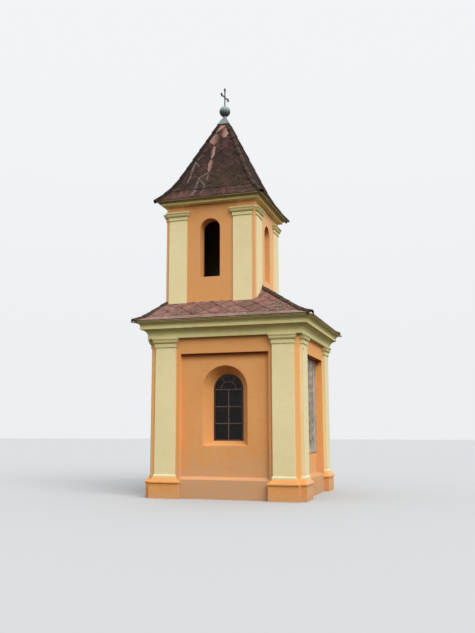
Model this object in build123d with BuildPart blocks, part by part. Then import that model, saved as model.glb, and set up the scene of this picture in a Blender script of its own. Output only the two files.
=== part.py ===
from build123d import *
from math import atan, cos, degrees, pi, sin, sqrt, tan
import os

os.makedirs("parts", exist_ok=True)

# Small rendered chapel: a square body, hipped skirt roof and a bell tower over the entrance end.
# X runs from the entrance front (-X) to the rear niche (+X), Y from the right-hand window side
# (-Y) to the left-hand one (+Y), Z up from the ground. The origin is the middle of the body at
# ground level. All sizes in millimetres.

# Body
body_length = 3560
body_width = 3440
wall_thickness = 500
wall_top = 3870
slab_thickness = 215
floor_level = 160

# Corner piers: pilaster between a plain strip at the corner and one beside the panel
corner_strip = 110
pilaster_width = 500
pilaster_depth = 70
panel_margin = 100
pilaster_foot_height = 45
pilaster_foot_chamfer = 35
pilaster_foot_reach = 22

# Recessed panels and the deep rear niche, with a weathered sill at the foot
panel_head_drop = 160
panel_depth = 100
niche_depth = 180
sill_front = 430
sill_rise = 65

# Pedestals under the pilasters
pedestal_depth = 130
pedestal_height = 350
pedestal_cap_edge = 28
pedestal_cap_top = 465
pedestal_cap_reach = 25

# Round-headed windows with splayed reveals
window_half_width = 365
window_springing = 2487
window_sill = 1300
window_splay = 182
window_splay_depth = 280
window_sill_drop = 110
window_frame_width = 40
window_frame_depth = 55
glass_thickness = 6

# Doorway in the entrance front
door_half_width = 450
door_springing = 2080
door_setback = 90
door_frame_width = 60
door_frame_depth = 90
door_rail_height = 70
door_leaf_thickness = 45
door_leaf_gap = 4
doorstep_width = 1240
doorstep_depth = 330
doorstep_height = 150

# Picture plate in the rear niche
plate_margin = 50
plate_foot = 985
plate_head_gap = 25
plate_thickness = 14

# Capitals: a neck band, a quarter round and two stepped fillets
body_capital_height = 216
tower_capital_height = 200
neck_band_share = 0.39
neck_band_reach = 18
round_foot_reach = 10
round_head_reach = 56
lower_fillet_height = 20
lower_fillet_reach = 66
upper_fillet_height = 26
upper_fillet_reach = 78

# Main cornice from its foot up: bed band, cove, step of the soffit, nose, groove and top curve
cornice_height = 389
cornice_bed_reach = 96
cornice_bed_height = 40
cornice_cove_reach = 188
cornice_cove_height = 160
cornice_soffit_step = 15
cornice_nose_reach = 242
cornice_nose_height = 54
cornice_groove = 8
cornice_top_reach = 326
cornice_top_edge = 24

# Skirt roof
eave_reach = 344
eave_edge = 25
kick_run = 300
kick_rise = 120
roof_slope = 0.66
roof_drop = 180

# Half-round hip tiles: they sit a little into the hip and run past the eave
hip_tile_radius = 72
hip_tile_sink = 10
hip_tile_skirt = 70
hip_tile_overrun = 45

# Bell tower
tower_width = 2312
tower_front_setback = 81
tower_wall = 300
tower_strip = 80
tower_pilaster_width = 472
tower_pilaster_depth = 30
tower_rise = 3155
tower_capital_drop = 283
belfry_half_width = 260
belfry_springing_rise = 2408
belfry_sill_rise = 1185

# Tower cornice, the same run smaller
tower_cornice_height = 107
tower_bed_reach = 16
tower_bed_height = 6
tower_cove_reach = 60
tower_cove_height = 12
tower_soffit_step = 5
tower_nose_reach = 112
tower_nose_height = 48
tower_groove = 6
tower_top_reach = 150
tower_top_edge = 16

# Bell-cast tower roof
tower_eave_reach = 215
bell_foot_slope = 1.06
bell_foot_run = 321
bell_foot_straight = 20
bell_slope = 2.2
bell_radius = 2600
tower_roof_drop = 420
tower_roof_cut_half_width = 115

# Finial
cap_overlap = 56
cap_rise = 233
neck_radius = 46
neck_length = 44
ball_radius = 148
ball_bands_each_half = 5
ball_sides = 24
cross_height = 529
cross_bar_drop = 265
cross_bar_half = 245
cross_iron_width = 34
cross_iron_thickness = 20
cross_foot_radius = 24
cross_bud_radius = 27
cross_turn = -8

# Worked-out places
half_length = body_length / 2
half_width = body_width / 2
pier_width = corner_strip + pilaster_width + panel_margin
room_half_length = half_length - wall_thickness
room_half_width = half_width - wall_thickness
cornice_top = wall_top + slab_thickness
cornice_foot = cornice_top - cornice_height
body_capital_foot = cornice_foot - body_capital_height
panel_top = body_capital_foot - panel_head_drop
side_panel_half = half_length - pier_width
end_panel_half = half_width - pier_width
tower_half = tower_width / 2
tower_middle = -half_length + tower_front_setback + tower_half
tower_front = tower_middle - tower_half
tower_rear = tower_middle + tower_half
tower_room_half = tower_half - tower_wall
tower_wall_top = cornice_top + tower_rise
tower_capital_foot = tower_wall_top - tower_capital_drop - tower_capital_height
belfry_springing = cornice_top + belfry_springing_rise
belfry_sill = cornice_top + belfry_sill_rise
eave_half_length = half_length + eave_reach
eave_half_width = half_width + eave_reach
side_run = eave_half_width - tower_half
front_run = eave_half_length + tower_front
rear_run = eave_half_length - tower_rear
front_squeeze = front_run / side_run
eave_height = cornice_top + eave_edge
kick_height = eave_height + kick_rise
tower_eave_half = tower_half + tower_eave_reach
tower_eave_height = tower_wall_top + eave_edge
bell_break_half_width = tower_eave_half - bell_foot_run
bell_break_height = tower_eave_height + bell_foot_slope * bell_foot_run
bell_apex = bell_break_height + bell_slope * bell_break_half_width
upper_angle = atan(bell_slope)
lower_angle = atan(bell_foot_slope)
half_turn = (upper_angle - lower_angle) / 2
longest_tangent = bell_foot_run / cos(lower_angle) - bell_foot_straight
bell_curve_radius = min(bell_radius, longest_tangent / tan(half_turn))
tower_roof_cut = bell_apex - bell_slope * tower_roof_cut_half_width
neck_foot = tower_roof_cut + cap_rise
ball_foot = neck_foot + neck_length
ball_centre = ball_foot + sqrt(ball_radius**2 - neck_radius**2)
ball_head = ball_centre + sqrt(ball_radius**2 - cross_foot_radius**2)
cross_top = ball_head + cross_height
cross_bar_height = cross_top - cross_bar_drop


def arch_outline(half, springing, sill):
    """Face of an opening: straight sides from the sill to the springing, then a half circle."""
    with BuildSketch() as outline:
        with BuildLine():
            Polyline((half, springing), (half, sill), (-half, sill), (-half, springing))
            ThreePointArc((-half, springing), (0, springing + half), (half, springing))
        make_face()
    return outline.sketch


def frustum(foot, head, rise):
    """Block with a rectangle (x0, y0, x1, y1) as its foot and a second one as its head.

    It is the common part of the two prisms that its front and its side views give.
    """
    reach = max(map(abs, foot + head))
    with BuildPart() as block:
        with BuildSketch(Plane.XZ):
            Polygon((foot[0], 0), (foot[2], 0), (head[2], rise), (head[0], rise), align=None)
        extrude(amount=reach, both=True)
        with BuildSketch(Plane.YZ):
            Polygon((foot[1], 0), (foot[3], 0), (head[3], rise), (head[1], rise), align=None)
        extrude(amount=reach, both=True, mode=Mode.INTERSECT)
    return block.part


def pedestal(corner_reach):
    """Pier foot with a sloped cap, its back on the wall plane y = 0 and its corner at x = 0.

    The cap overhangs the front and the panel side, and the corner side by corner_reach.
    """
    foot_left = corner_strip - pilaster_foot_reach
    foot_right = corner_strip + pilaster_width + pilaster_foot_reach
    foot_front = -pilaster_depth - pilaster_foot_reach
    right = pier_width + pedestal_cap_reach
    front = -pedestal_depth - pedestal_cap_reach
    cap_foot = pedestal_height + pedestal_cap_edge
    edge = (-corner_reach, front, right, 0)
    head = (foot_left, foot_front, foot_right, 0)
    cap_edge = frustum(edge, edge, pedestal_cap_edge)
    cap_slope = frustum(edge, head, pedestal_cap_top - cap_foot)
    with BuildPart() as foot:
        Box(pier_width, pedestal_depth, pedestal_height, align=(Align.MIN, Align.MAX, Align.MIN))
        with Locations((0, 0, pedestal_height)):
            add(cap_edge)
        with Locations((0, 0, cap_foot)):
            add(cap_slope)
    return foot.part


def pilaster(width, depth, rise):
    """Flat shaft on the wall plane y = 0, its corner side at x = 0, on a flared base."""
    reach = pilaster_foot_reach
    wide = (-reach, -depth - reach, width + reach, 0)
    base = frustum(wide, wide, pilaster_foot_height)
    base_chamfer = frustum(wide, (0, -depth, width, 0), pilaster_foot_chamfer)
    with BuildPart() as shaft:
        Box(width, depth, rise, align=(Align.MIN, Align.MAX, Align.MIN))
        add(base)
        with Locations((0, 0, pilaster_foot_height)):
            add(base_chamfer)
    return shaft.part


def capital(width, depth, height):
    """Moulded head run round the three free sides of a pilaster, with mitred corners.

    The quarter round has gained 0.29 of its height where it has reached 0.71 of its reach.
    """
    neck_head = neck_band_share * height
    round_head = height - upper_fillet_height - lower_fillet_height
    lower_head = height - upper_fillet_height
    round_bulge = (
        round_foot_reach + (round_head_reach - round_foot_reach) * 0.71,
        neck_head + (round_head - neck_head) * 0.29,
    )
    with BuildPart() as head:
        with BuildLine() as route:
            Polyline((0, 0), (0, -depth), (width, -depth), (width, 0))
        with BuildSketch(Plane.XZ):
            with BuildLine():
                Polyline(
                    (0, 0),
                    (-neck_band_reach, 0),
                    (-neck_band_reach, neck_head),
                    (-round_foot_reach, neck_head),
                )
                ThreePointArc(
                    (-round_foot_reach, neck_head),
                    (-round_bulge[0], round_bulge[1]),
                    (-round_head_reach, round_head),
                )
                Polyline(
                    (-round_head_reach, round_head),
                    (-lower_fillet_reach, round_head),
                    (-lower_fillet_reach, lower_head),
                    (-upper_fillet_reach, lower_head),
                    (-upper_fillet_reach, height),
                    (0, height),
                    (0, 0),
                )
            make_face()
        sweep(path=route.line, transition=Transition.RIGHT)
        Box(width, depth, height, align=(Align.MIN, Align.MAX, Align.MIN))
    return head.part


def on_four_corners(piece, half_along, half_across, inset, foot, turned=0, middle=0):
    """Copies of a pier piece at both ends of two opposite faces of a rectangular block.

    The piece is drawn on a -Y face with its corner side at x = 0. It starts at the inset from
    the corner and at the height of foot, and the far ones are its mirror images. Turned by 90
    degrees, the faces are the front and the rear instead of the sides.
    """
    mirrored = mirror(piece, about=Plane.YZ)
    start = -half_along + inset
    copies = []
    for turn in (turned, turned + 180):
        face = Pos(middle, 0, foot) * Rot(0, 0, turn)
        copies.append(face * Pos(start, -half_across, 0) * piece)
        copies.append(face * Pos(-start, -half_across, 0) * mirrored)
    return copies


def cornice_section(rise, bed, cove, soffit_step, nose, groove, top):
    """Section of a cornice, reaching to -x from the wall line x = 0 and up from y = 0.

    Bed, cove, nose and top are pairs of reach and height. The hollow curves are quarter ellipses
    in three-point form: past 0.29 of their reach they have already gained 0.71 of their height.
    """
    cove_foot = bed[1]
    cove_head = cove_foot + cove[1]
    nose_foot = cove_head + soffit_step
    nose_head = nose_foot + nose[1]
    curve_foot = nose_head + groove
    curve_head = rise - top[1]
    curve_start = nose[0] - groove
    with BuildSketch() as section:
        with BuildLine():
            Polyline((0, 0), (-bed[0], 0), (-bed[0], cove_foot))
            ThreePointArc(
                (-bed[0], cove_foot),
                (-bed[0] - 0.29 * (cove[0] - bed[0]), cove_foot + 0.71 * cove[1]),
                (-cove[0], cove_head),
            )
            Polyline(
                (-cove[0], cove_head),
                (-cove[0], nose_foot),
                (-nose[0], nose_foot),
                (-nose[0], nose_head),
                (-curve_start, curve_foot),
            )
            ThreePointArc(
                (-curve_start, curve_foot),
                (
                    -curve_start - 0.29 * (top[0] - curve_start),
                    curve_foot + 0.71 * (curve_head - curve_foot),
                ),
                (-top[0], curve_head),
            )
            Polyline((-top[0], curve_head), (-top[0], rise), (0, rise), (0, 0))
        make_face()
    return section.sketch


def cornice(section, half_x, half_y, foot, middle=0):
    """Moulding carried round a rectangle with mitred corners, starting mid-way along one side."""
    with BuildPart() as ring:
        with BuildLine(Plane.XY.offset(foot)) as route:
            Polyline(
                (middle, -half_y),
                (middle + half_x, -half_y),
                (middle + half_x, half_y),
                (middle - half_x, half_y),
                (middle - half_x, -half_y),
                close=True,
            )
        with BuildSketch(Plane.YZ.offset(middle)):
            with Locations((-half_y, foot)):
                add(section)
        sweep(path=route.line, transition=Transition.RIGHT)
    return ring.part


def skirt_form(lowered):
    """Everything under the skirt roof's outer faces, lowered by a drop.

    It is the common part of two crosswise ridges. The front slope is the side slope squeezed, so
    that the front hips run from the eave corners to the corners of the tower.
    """
    eave = eave_height - lowered
    kick = kick_height - lowered
    foot = cornice_top - 2 * lowered
    front_kick = -eave_half_length + kick_run * front_squeeze
    peak = eave_half_length * (front_squeeze - 1) / (front_squeeze + 1)
    with BuildPart() as form:
        with BuildSketch(Plane.YZ):
            with BuildLine():
                Polyline(
                    (-eave_half_width, foot),
                    (-eave_half_width, eave),
                    (-eave_half_width + kick_run, kick),
                    (0, kick + roof_slope * (eave_half_width - kick_run)),
                    (eave_half_width - kick_run, kick),
                    (eave_half_width, eave),
                    (eave_half_width, foot),
                    close=True,
                )
            make_face()
        extrude(amount=eave_half_length, both=True)
        with BuildSketch(Plane.XZ):
            with BuildLine():
                Polyline(
                    (-eave_half_length, foot),
                    (-eave_half_length, eave),
                    (front_kick, kick),
                    (peak, kick + roof_slope * (eave_half_length - kick_run - peak)),
                    (eave_half_length - kick_run, kick),
                    (eave_half_length, eave),
                    (eave_half_length, foot),
                    close=True,
                )
            make_face()
        extrude(amount=eave_half_width, both=True, mode=Mode.INTERSECT)
    return form.part


def bell_form(lowered):
    """Everything under the tower roof's outer faces, lowered by a drop.

    One bell-cast slope is drawn in section, trimmed to its quarter at the hips and set four times.
    """
    eave = tower_eave_height - lowered
    turn = bell_break_height - lowered
    foot = tower_wall_top - 2 * lowered
    with BuildSketch() as half_section:
        with BuildLine():
            Polyline(
                (0, foot),
                (tower_eave_half, foot),
                (tower_eave_half, eave),
                (bell_break_half_width, turn),
                (0, bell_apex - lowered),
                close=True,
            )
        make_face()
        bell_corner = half_section.vertices().filter_by_position(Axis.Y, turn - 1, turn + 1)
        fillet(bell_corner, bell_curve_radius)
    with BuildPart() as slope:
        with BuildSketch(Plane.XZ):
            add(half_section.sketch)
        extrude(amount=tower_eave_half, both=True)
        split(bisect_by=Plane(origin=(0, 0, 0), z_dir=(1, -1, 0)), keep=Keep.TOP)
        split(bisect_by=Plane(origin=(0, 0, 0), z_dir=(1, 1, 0)), keep=Keep.TOP)
    with BuildPart() as form:
        with Locations((tower_middle, 0, 0)):
            with PolarLocations(0, 4):
                add(slope.part)
    return form.part


def hip_tiles(points):
    """Row of half-round hip tiles: their outer section carried up the hip from its foot."""
    foot = Vector(*points[0])
    rise = Vector(*points[1]) - foot
    across = Vector(-rise.Y, rise.X, 0)
    with BuildPart() as row:
        with BuildLine() as route:
            Polyline(*points)
        with BuildSketch(Plane(origin=foot, x_dir=across, z_dir=rise)):
            with Locations((0, -hip_tile_sink)):
                Circle(hip_tile_radius)
                Rectangle(2 * hip_tile_radius, hip_tile_skirt, align=(Align.CENTER, Align.MAX))
        sweep(path=route.line, transition=Transition.RIGHT)
    return row.part


def past_the_eave(corner, higher):
    """Point beyond an eave corner, in line with the hip's first stretch."""
    back = Vector(*corner) - Vector(*higher)
    return Vector(*corner) + back.normalized() * hip_tile_overrun


# Masonry of the body

with BuildPart() as floor_slab:
    Box(
        room_half_length * 2, room_half_width * 2, floor_level,
        align=(Align.CENTER, Align.CENTER, Align.MIN),
    )
    with Locations((-room_half_length, 0, 0)):
        Box(wall_thickness, door_half_width * 2, floor_level, align=(Align.MAX, Align.CENTER, Align.MIN))
floor_slab.part.label = "floor_slab"
export_step(floor_slab.part, "parts/floor_slab.step")

# Side wall with a shallow panel and, in it, the arched window splayed outwards
panel_back = half_width - panel_depth
splay_back = panel_back - window_splay_depth
window_head = arch_outline(window_half_width, window_springing, window_sill)
window_mouth = arch_outline(
    window_half_width + window_splay, window_springing, window_sill - window_sill_drop
)
with BuildPart() as right_wall:
    with Locations((0, -half_width, 0)):
        Box(body_length, wall_thickness, wall_top, align=(Align.CENTER, Align.MIN, Align.MIN))
    with BuildSketch(Plane.YZ):
        with BuildLine():
            Polyline(
                (-half_width, sill_front),
                (-panel_back, sill_front + sill_rise),
                (-panel_back, panel_top),
                (-half_width, panel_top),
                (-half_width, sill_front),
            )
        make_face()
    extrude(amount=side_panel_half, both=True, mode=Mode.SUBTRACT)
    with BuildSketch(Plane.XZ.offset(panel_back)):
        add(window_mouth)
    with BuildSketch(Plane.XZ.offset(splay_back)):
        add(window_head)
    loft(ruled=True, mode=Mode.SUBTRACT)
    with BuildSketch(Plane.XZ.offset(splay_back)):
        add(window_head)
    extrude(amount=-(splay_back - room_half_width), mode=Mode.SUBTRACT)
right_wall.part.label = "right_wall"
export_step(right_wall.part, "parts/right_wall.step")

with BuildPart() as left_wall:
    mirror(right_wall.part, about=Plane.XZ)
left_wall.part.label = "left_wall"
export_step(left_wall.part, "parts/left_wall.step")

with BuildPart() as rear_wall:
    with Locations((half_length, 0, 0)):
        Box(wall_thickness, room_half_width * 2, wall_top, align=(Align.MAX, Align.CENTER, Align.MIN))
    with BuildSketch(Plane.XZ):
        with BuildLine():
            Polyline(
                (half_length, sill_front),
                (half_length - niche_depth, sill_front + sill_rise),
                (half_length - niche_depth, panel_top),
                (half_length, panel_top),
                (half_length, sill_front),
            )
        make_face()
    extrude(amount=end_panel_half, both=True, mode=Mode.SUBTRACT)
rear_wall.part.label = "rear_wall"
export_step(rear_wall.part, "parts/rear_wall.step")

# Entrance wall with the same panel as the sides, split at the springing of the doorway
with BuildPart() as front_panel_recess:
    with BuildSketch(Plane.XZ):
        with BuildLine():
            Polyline(
                (-half_length, sill_front),
                (-half_length + panel_depth, sill_front + sill_rise),
                (-half_length + panel_depth, panel_top),
                (-half_length, panel_top),
                (-half_length, sill_front),
            )
        make_face()
    extrude(amount=end_panel_half, both=True)

with BuildPart() as front_wall_right:
    with Locations((-half_length, -door_half_width, 0)):
        Box(
            wall_thickness, room_half_width - door_half_width, door_springing,
            align=(Align.MIN, Align.MAX, Align.MIN),
        )
    add(front_panel_recess.part, mode=Mode.SUBTRACT)
front_wall_right.part.label = "front_wall_right"
export_step(front_wall_right.part, "parts/front_wall_right.step")

with BuildPart() as front_wall_left:
    mirror(front_wall_right.part, about=Plane.XZ)
front_wall_left.part.label = "front_wall_left"
export_step(front_wall_left.part, "parts/front_wall_left.step")

doorway = arch_outline(door_half_width, door_springing, 0)
with BuildPart() as front_wall_over_door:
    with Locations((-half_length, 0, door_springing)):
        Box(
            wall_thickness, room_half_width * 2, wall_top - door_springing,
            align=(Align.MIN, Align.CENTER, Align.MIN),
        )
    add(front_panel_recess.part, mode=Mode.SUBTRACT)
    with BuildSketch(Plane.YZ.offset(-half_length)):
        add(doorway)
    extrude(amount=wall_thickness, mode=Mode.SUBTRACT)
front_wall_over_door.part.label = "front_wall_over_door"
export_step(front_wall_over_door.part, "parts/front_wall_over_door.step")

with BuildPart() as doorstep:
    with Locations((-half_length, 0, 0)):
        Box(doorstep_depth, doorstep_width, doorstep_height, align=(Align.MAX, Align.CENTER, Align.MIN))
doorstep.part.label = "doorstep"
export_step(doorstep.part, "parts/doorstep.step")

# Pedestals, pilasters and capitals of the corner piers

side_feet = on_four_corners(pedestal(0), half_length, half_width, 0, 0)
with BuildPart() as side_pedestals:
    add(side_feet)
side_pedestals.part.label = "side_pedestals"
export_step(side_pedestals.part, "parts/side_pedestals.step")

end_feet = on_four_corners(pedestal(pedestal_cap_reach), half_width, half_length, 0, 0, 90)
with BuildPart() as end_pedestals:
    add(end_feet)
end_pedestals.part.label = "end_pedestals"
export_step(end_pedestals.part, "parts/end_pedestals.step")

body_shaft = pilaster(pilaster_width, pilaster_depth, body_capital_foot - pedestal_cap_top)
body_head = capital(pilaster_width, pilaster_depth, body_capital_height)

side_shafts = on_four_corners(body_shaft, half_length, half_width, corner_strip, pedestal_cap_top)
with BuildPart() as side_pilasters:
    add(side_shafts)
side_pilasters.part.label = "side_pilasters"
export_step(side_pilasters.part, "parts/side_pilasters.step")

end_shafts = on_four_corners(body_shaft, half_width, half_length, corner_strip, pedestal_cap_top, 90)
with BuildPart() as end_pilasters:
    add(end_shafts)
end_pilasters.part.label = "end_pilasters"
export_step(end_pilasters.part, "parts/end_pilasters.step")

side_heads = on_four_corners(body_head, half_length, half_width, corner_strip, body_capital_foot)
with BuildPart() as side_capitals:
    add(side_heads)
side_capitals.part.label = "side_capitals"
export_step(side_capitals.part, "parts/side_capitals.step")

end_heads = on_four_corners(body_head, half_width, half_length, corner_strip, body_capital_foot, 90)
with BuildPart() as end_capitals:
    add(end_heads)
end_capitals.part.label = "end_capitals"
export_step(end_capitals.part, "parts/end_capitals.step")

# Main cornice and the slab that it wraps

main_section = cornice_section(
    cornice_height,
    (cornice_bed_reach, cornice_bed_height),
    (cornice_cove_reach, cornice_cove_height),
    cornice_soffit_step,
    (cornice_nose_reach, cornice_nose_height),
    cornice_groove,
    (cornice_top_reach, cornice_top_edge),
)
main_ring = cornice(main_section, half_length, half_width, cornice_foot)
with BuildPart() as main_cornice:
    add(main_ring)
main_cornice.part.label = "main_cornice"
export_step(main_cornice.part, "parts/main_cornice.step")

with BuildPart() as ceiling_slab:
    with Locations((0, 0, wall_top)):
        Box(body_length, body_width, slab_thickness, align=(Align.CENTER, Align.CENTER, Align.MIN))
ceiling_slab.part.label = "ceiling_slab"
export_step(ceiling_slab.part, "parts/ceiling_slab.step")

# Bell tower on the slab, with one round-headed opening in each wall

belfry_opening = arch_outline(belfry_half_width, belfry_springing, belfry_sill)

with BuildPart() as tower_right_wall:
    with Locations((tower_middle, -tower_half, cornice_top)):
        Box(tower_width, tower_wall, tower_rise, align=(Align.CENTER, Align.MIN, Align.MIN))
    with BuildSketch(Plane.XZ.offset(tower_half)):
        with Locations((tower_middle, 0)):
            add(belfry_opening)
    extrude(amount=-tower_wall, mode=Mode.SUBTRACT)
tower_right_wall.part.label = "tower_right_wall"
export_step(tower_right_wall.part, "parts/tower_right_wall.step")

with BuildPart() as tower_left_wall:
    mirror(tower_right_wall.part, about=Plane.XZ)
tower_left_wall.part.label = "tower_left_wall"
export_step(tower_left_wall.part, "parts/tower_left_wall.step")

with BuildPart() as tower_rear_wall:
    with Locations((tower_rear, 0, cornice_top)):
        Box(tower_wall, tower_room_half * 2, tower_rise, align=(Align.MAX, Align.CENTER, Align.MIN))
    with BuildSketch(Plane.YZ.offset(tower_rear)):
        add(belfry_opening)
    extrude(amount=-tower_wall, mode=Mode.SUBTRACT)
tower_rear_wall.part.label = "tower_rear_wall"
export_step(tower_rear_wall.part, "parts/tower_rear_wall.step")

with BuildPart() as tower_front_wall:
    mirror(tower_rear_wall.part, about=Plane.YZ.offset(tower_middle))
tower_front_wall.part.label = "tower_front_wall"
export_step(tower_front_wall.part, "parts/tower_front_wall.step")

with BuildPart() as tower_shaft:
    Box(
        tower_pilaster_width, tower_pilaster_depth, tower_capital_foot - cornice_top,
        align=(Align.MIN, Align.MAX, Align.MIN),
    )
tower_head = capital(tower_pilaster_width, tower_pilaster_depth, tower_capital_height)

tower_side_shafts = on_four_corners(
    tower_shaft.part, tower_half, tower_half, tower_strip, cornice_top, 0, tower_middle
)
with BuildPart() as tower_side_pilasters:
    add(tower_side_shafts)
tower_side_pilasters.part.label = "tower_side_pilasters"
export_step(tower_side_pilasters.part, "parts/tower_side_pilasters.step")

tower_end_shafts = on_four_corners(
    tower_shaft.part, tower_half, tower_half, tower_strip, cornice_top, 90, tower_middle
)
with BuildPart() as tower_end_pilasters:
    add(tower_end_shafts)
tower_end_pilasters.part.label = "tower_end_pilasters"
export_step(tower_end_pilasters.part, "parts/tower_end_pilasters.step")

tower_side_heads = on_four_corners(
    tower_head, tower_half, tower_half, tower_strip, tower_capital_foot, 0, tower_middle
)
with BuildPart() as tower_side_capitals:
    add(tower_side_heads)
tower_side_capitals.part.label = "tower_side_capitals"
export_step(tower_side_capitals.part, "parts/tower_side_capitals.step")

tower_end_heads = on_four_corners(
    tower_head, tower_half, tower_half, tower_strip, tower_capital_foot, 90, tower_middle
)
with BuildPart() as tower_end_capitals:
    add(tower_end_heads)
tower_end_capitals.part.label = "tower_end_capitals"
export_step(tower_end_capitals.part, "parts/tower_end_capitals.step")

tower_section = cornice_section(
    tower_cornice_height,
    (tower_bed_reach, tower_bed_height),
    (tower_cove_reach, tower_cove_height),
    tower_soffit_step,
    (tower_nose_reach, tower_nose_height),
    tower_groove,
    (tower_top_reach, tower_top_edge),
)
tower_ring = cornice(
    tower_section, tower_half, tower_half, tower_wall_top - tower_cornice_height, tower_middle
)
with BuildPart() as tower_cornice:
    add(tower_ring)
tower_cornice.part.label = "tower_cornice"
export_step(tower_cornice.part, "parts/tower_cornice.step")

# Skirt roof: four mitred slopes of one thickness, trimmed round the tower and its pilasters

skirt_outside = skirt_form(0)
skirt_inside = skirt_form(roof_drop)
with BuildPart() as tower_block:
    with Locations((tower_middle, 0, cornice_top)):
        Box(tower_width, tower_width, tower_rise, align=(Align.CENTER, Align.CENTER, Align.MIN))
    add(tower_side_pilasters.part)
    add(tower_end_pilasters.part)

with BuildPart() as skirt_shell:
    add(skirt_outside)
    add(skirt_inside, mode=Mode.SUBTRACT)
    add(tower_block.part, mode=Mode.SUBTRACT)

hip_head_x = tower_rear + tower_pilaster_depth
hip_head_y = eave_half_width - (eave_half_length - hip_head_x)
front_right = (-eave_half_length, -eave_half_width)
rear_right = (eave_half_length, -eave_half_width)
front_left = (-eave_half_length, eave_half_width)
rear_left = (eave_half_length, eave_half_width)
front_right_head = (tower_front, -tower_half)
rear_right_head = (hip_head_x, -hip_head_y)
front_left_head = (tower_front, tower_half)
rear_left_head = (hip_head_x, hip_head_y)
rear_right_end = (tower_rear, -hip_head_y)
rear_left_end = (tower_rear, hip_head_y)

with BuildPart() as skirt_roof_right:
    with BuildSketch(Plane.XY.offset(cornice_top)):
        Polygon(
            front_right, rear_right, rear_right_head, rear_right_end, front_right_head, align=None
        )
    extrude(amount=tower_rise)
    add(skirt_shell.part, mode=Mode.INTERSECT)
skirt_roof_right.part.label = "skirt_roof_right"
export_step(skirt_roof_right.part, "parts/skirt_roof_right.step")

with BuildPart() as skirt_roof_left:
    mirror(skirt_roof_right.part, about=Plane.XZ)
skirt_roof_left.part.label = "skirt_roof_left"
export_step(skirt_roof_left.part, "parts/skirt_roof_left.step")

with BuildPart() as skirt_roof_rear:
    with BuildSketch(Plane.XY.offset(cornice_top)):
        Polygon(
            rear_right, rear_left, rear_left_head, rear_left_end, rear_right_end, rear_right_head,
            align=None,
        )
    extrude(amount=tower_rise)
    add(skirt_shell.part, mode=Mode.INTERSECT)
skirt_roof_rear.part.label = "skirt_roof_rear"
export_step(skirt_roof_rear.part, "parts/skirt_roof_rear.step")

with BuildPart() as skirt_roof_front:
    with BuildSketch(Plane.XY.offset(cornice_top)):
        Polygon(front_left, front_right, front_right_head, front_left_head, align=None)
    extrude(amount=tower_rise)
    add(skirt_shell.part, mode=Mode.INTERSECT)
skirt_roof_front.part.label = "skirt_roof_front"
export_step(skirt_roof_front.part, "parts/skirt_roof_front.step")

rear_kick = (eave_half_length - kick_run, -eave_half_width + kick_run, kick_height)
rear_corner = (*rear_right, eave_height)
rear_head_reach = rear_run + hip_tile_radius
rear_head = (
    eave_half_length - rear_head_reach,
    -eave_half_width + rear_head_reach,
    kick_height + roof_slope * (rear_head_reach - kick_run),
)
front_kick = (
    -eave_half_length + kick_run * front_squeeze,
    -eave_half_width + kick_run,
    kick_height,
)
front_corner = (*front_right, eave_height)
front_head = (*front_right_head, kick_height + roof_slope * (side_run - kick_run))
rear_row = hip_tiles((past_the_eave(rear_corner, rear_kick), rear_kick, rear_head))
front_row = hip_tiles((past_the_eave(front_corner, front_kick), front_kick, front_head))

with BuildPart() as skirt_hip_tiles:
    add(rear_row)
    add(front_row)
    add(skirt_outside, mode=Mode.SUBTRACT)
    add(tower_block.part, mode=Mode.SUBTRACT)
    with Locations((0, 0, cornice_top)):
        Box(
            3 * body_length, 3 * body_width, hip_tile_radius * 3,
            align=(Align.CENTER, Align.CENTER, Align.MAX), mode=Mode.SUBTRACT,
        )
    mirror(about=Plane.XZ)
skirt_hip_tiles.part.label = "skirt_hip_tiles"
export_step(skirt_hip_tiles.part, "parts/skirt_hip_tiles.step")

# Tower roof, its hip tiles and the finial

bell_outside = bell_form(0)
bell_inside = bell_form(tower_roof_drop)
with BuildPart() as tower_roof:
    add(bell_outside)
    add(bell_inside, mode=Mode.SUBTRACT)
    with Locations((tower_middle, 0, tower_roof_cut)):
        Box(
            tower_width, tower_width, tower_rise,
            align=(Align.CENTER, Align.CENTER, Align.MIN), mode=Mode.SUBTRACT,
        )
tower_roof.part.label = "tower_roof"
export_step(tower_roof.part, "parts/tower_roof.step")

tangent = bell_curve_radius * tan(half_turn)
bow = bell_curve_radius * (1 / cos(half_turn) - 1)
mean_angle = (upper_angle + lower_angle) / 2


def on_the_hip(half, height):
    """Point of the tower's rear right hip at a half width of the roof."""
    return (tower_middle + half, -half, height)


tower_corner = on_the_hip(tower_eave_half, tower_eave_height)
curve_foot = on_the_hip(
    bell_break_half_width + tangent * cos(lower_angle),
    bell_break_height - tangent * sin(lower_angle),
)
curve_middle = on_the_hip(
    bell_break_half_width + bow * sin(mean_angle), bell_break_height + bow * cos(mean_angle)
)
curve_head = on_the_hip(
    bell_break_half_width - tangent * cos(upper_angle),
    bell_break_height + tangent * sin(upper_angle),
)
hip_apex = on_the_hip(0, bell_apex)
bell_row = hip_tiles(
    (past_the_eave(tower_corner, curve_foot), curve_foot, curve_middle, curve_head, hip_apex)
)
with BuildPart() as one_bell_row:
    add(bell_row)
    add(bell_outside, mode=Mode.SUBTRACT)
    with Locations((tower_middle, 0, tower_roof_cut)):
        Box(
            tower_width, tower_width, tower_rise,
            align=(Align.CENTER, Align.CENTER, Align.MIN), mode=Mode.SUBTRACT,
        )
    with Locations((tower_middle, 0, tower_wall_top)):
        Box(
            2 * tower_width, 2 * tower_width, tower_rise,
            align=(Align.CENTER, Align.CENTER, Align.MAX), mode=Mode.SUBTRACT,
        )
with BuildPart() as tower_hip_tiles:
    add(one_bell_row.part)
    mirror(about=Plane.XZ)
    mirror(about=Plane.YZ.offset(tower_middle))
tower_hip_tiles.part.label = "tower_hip_tiles"
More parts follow.
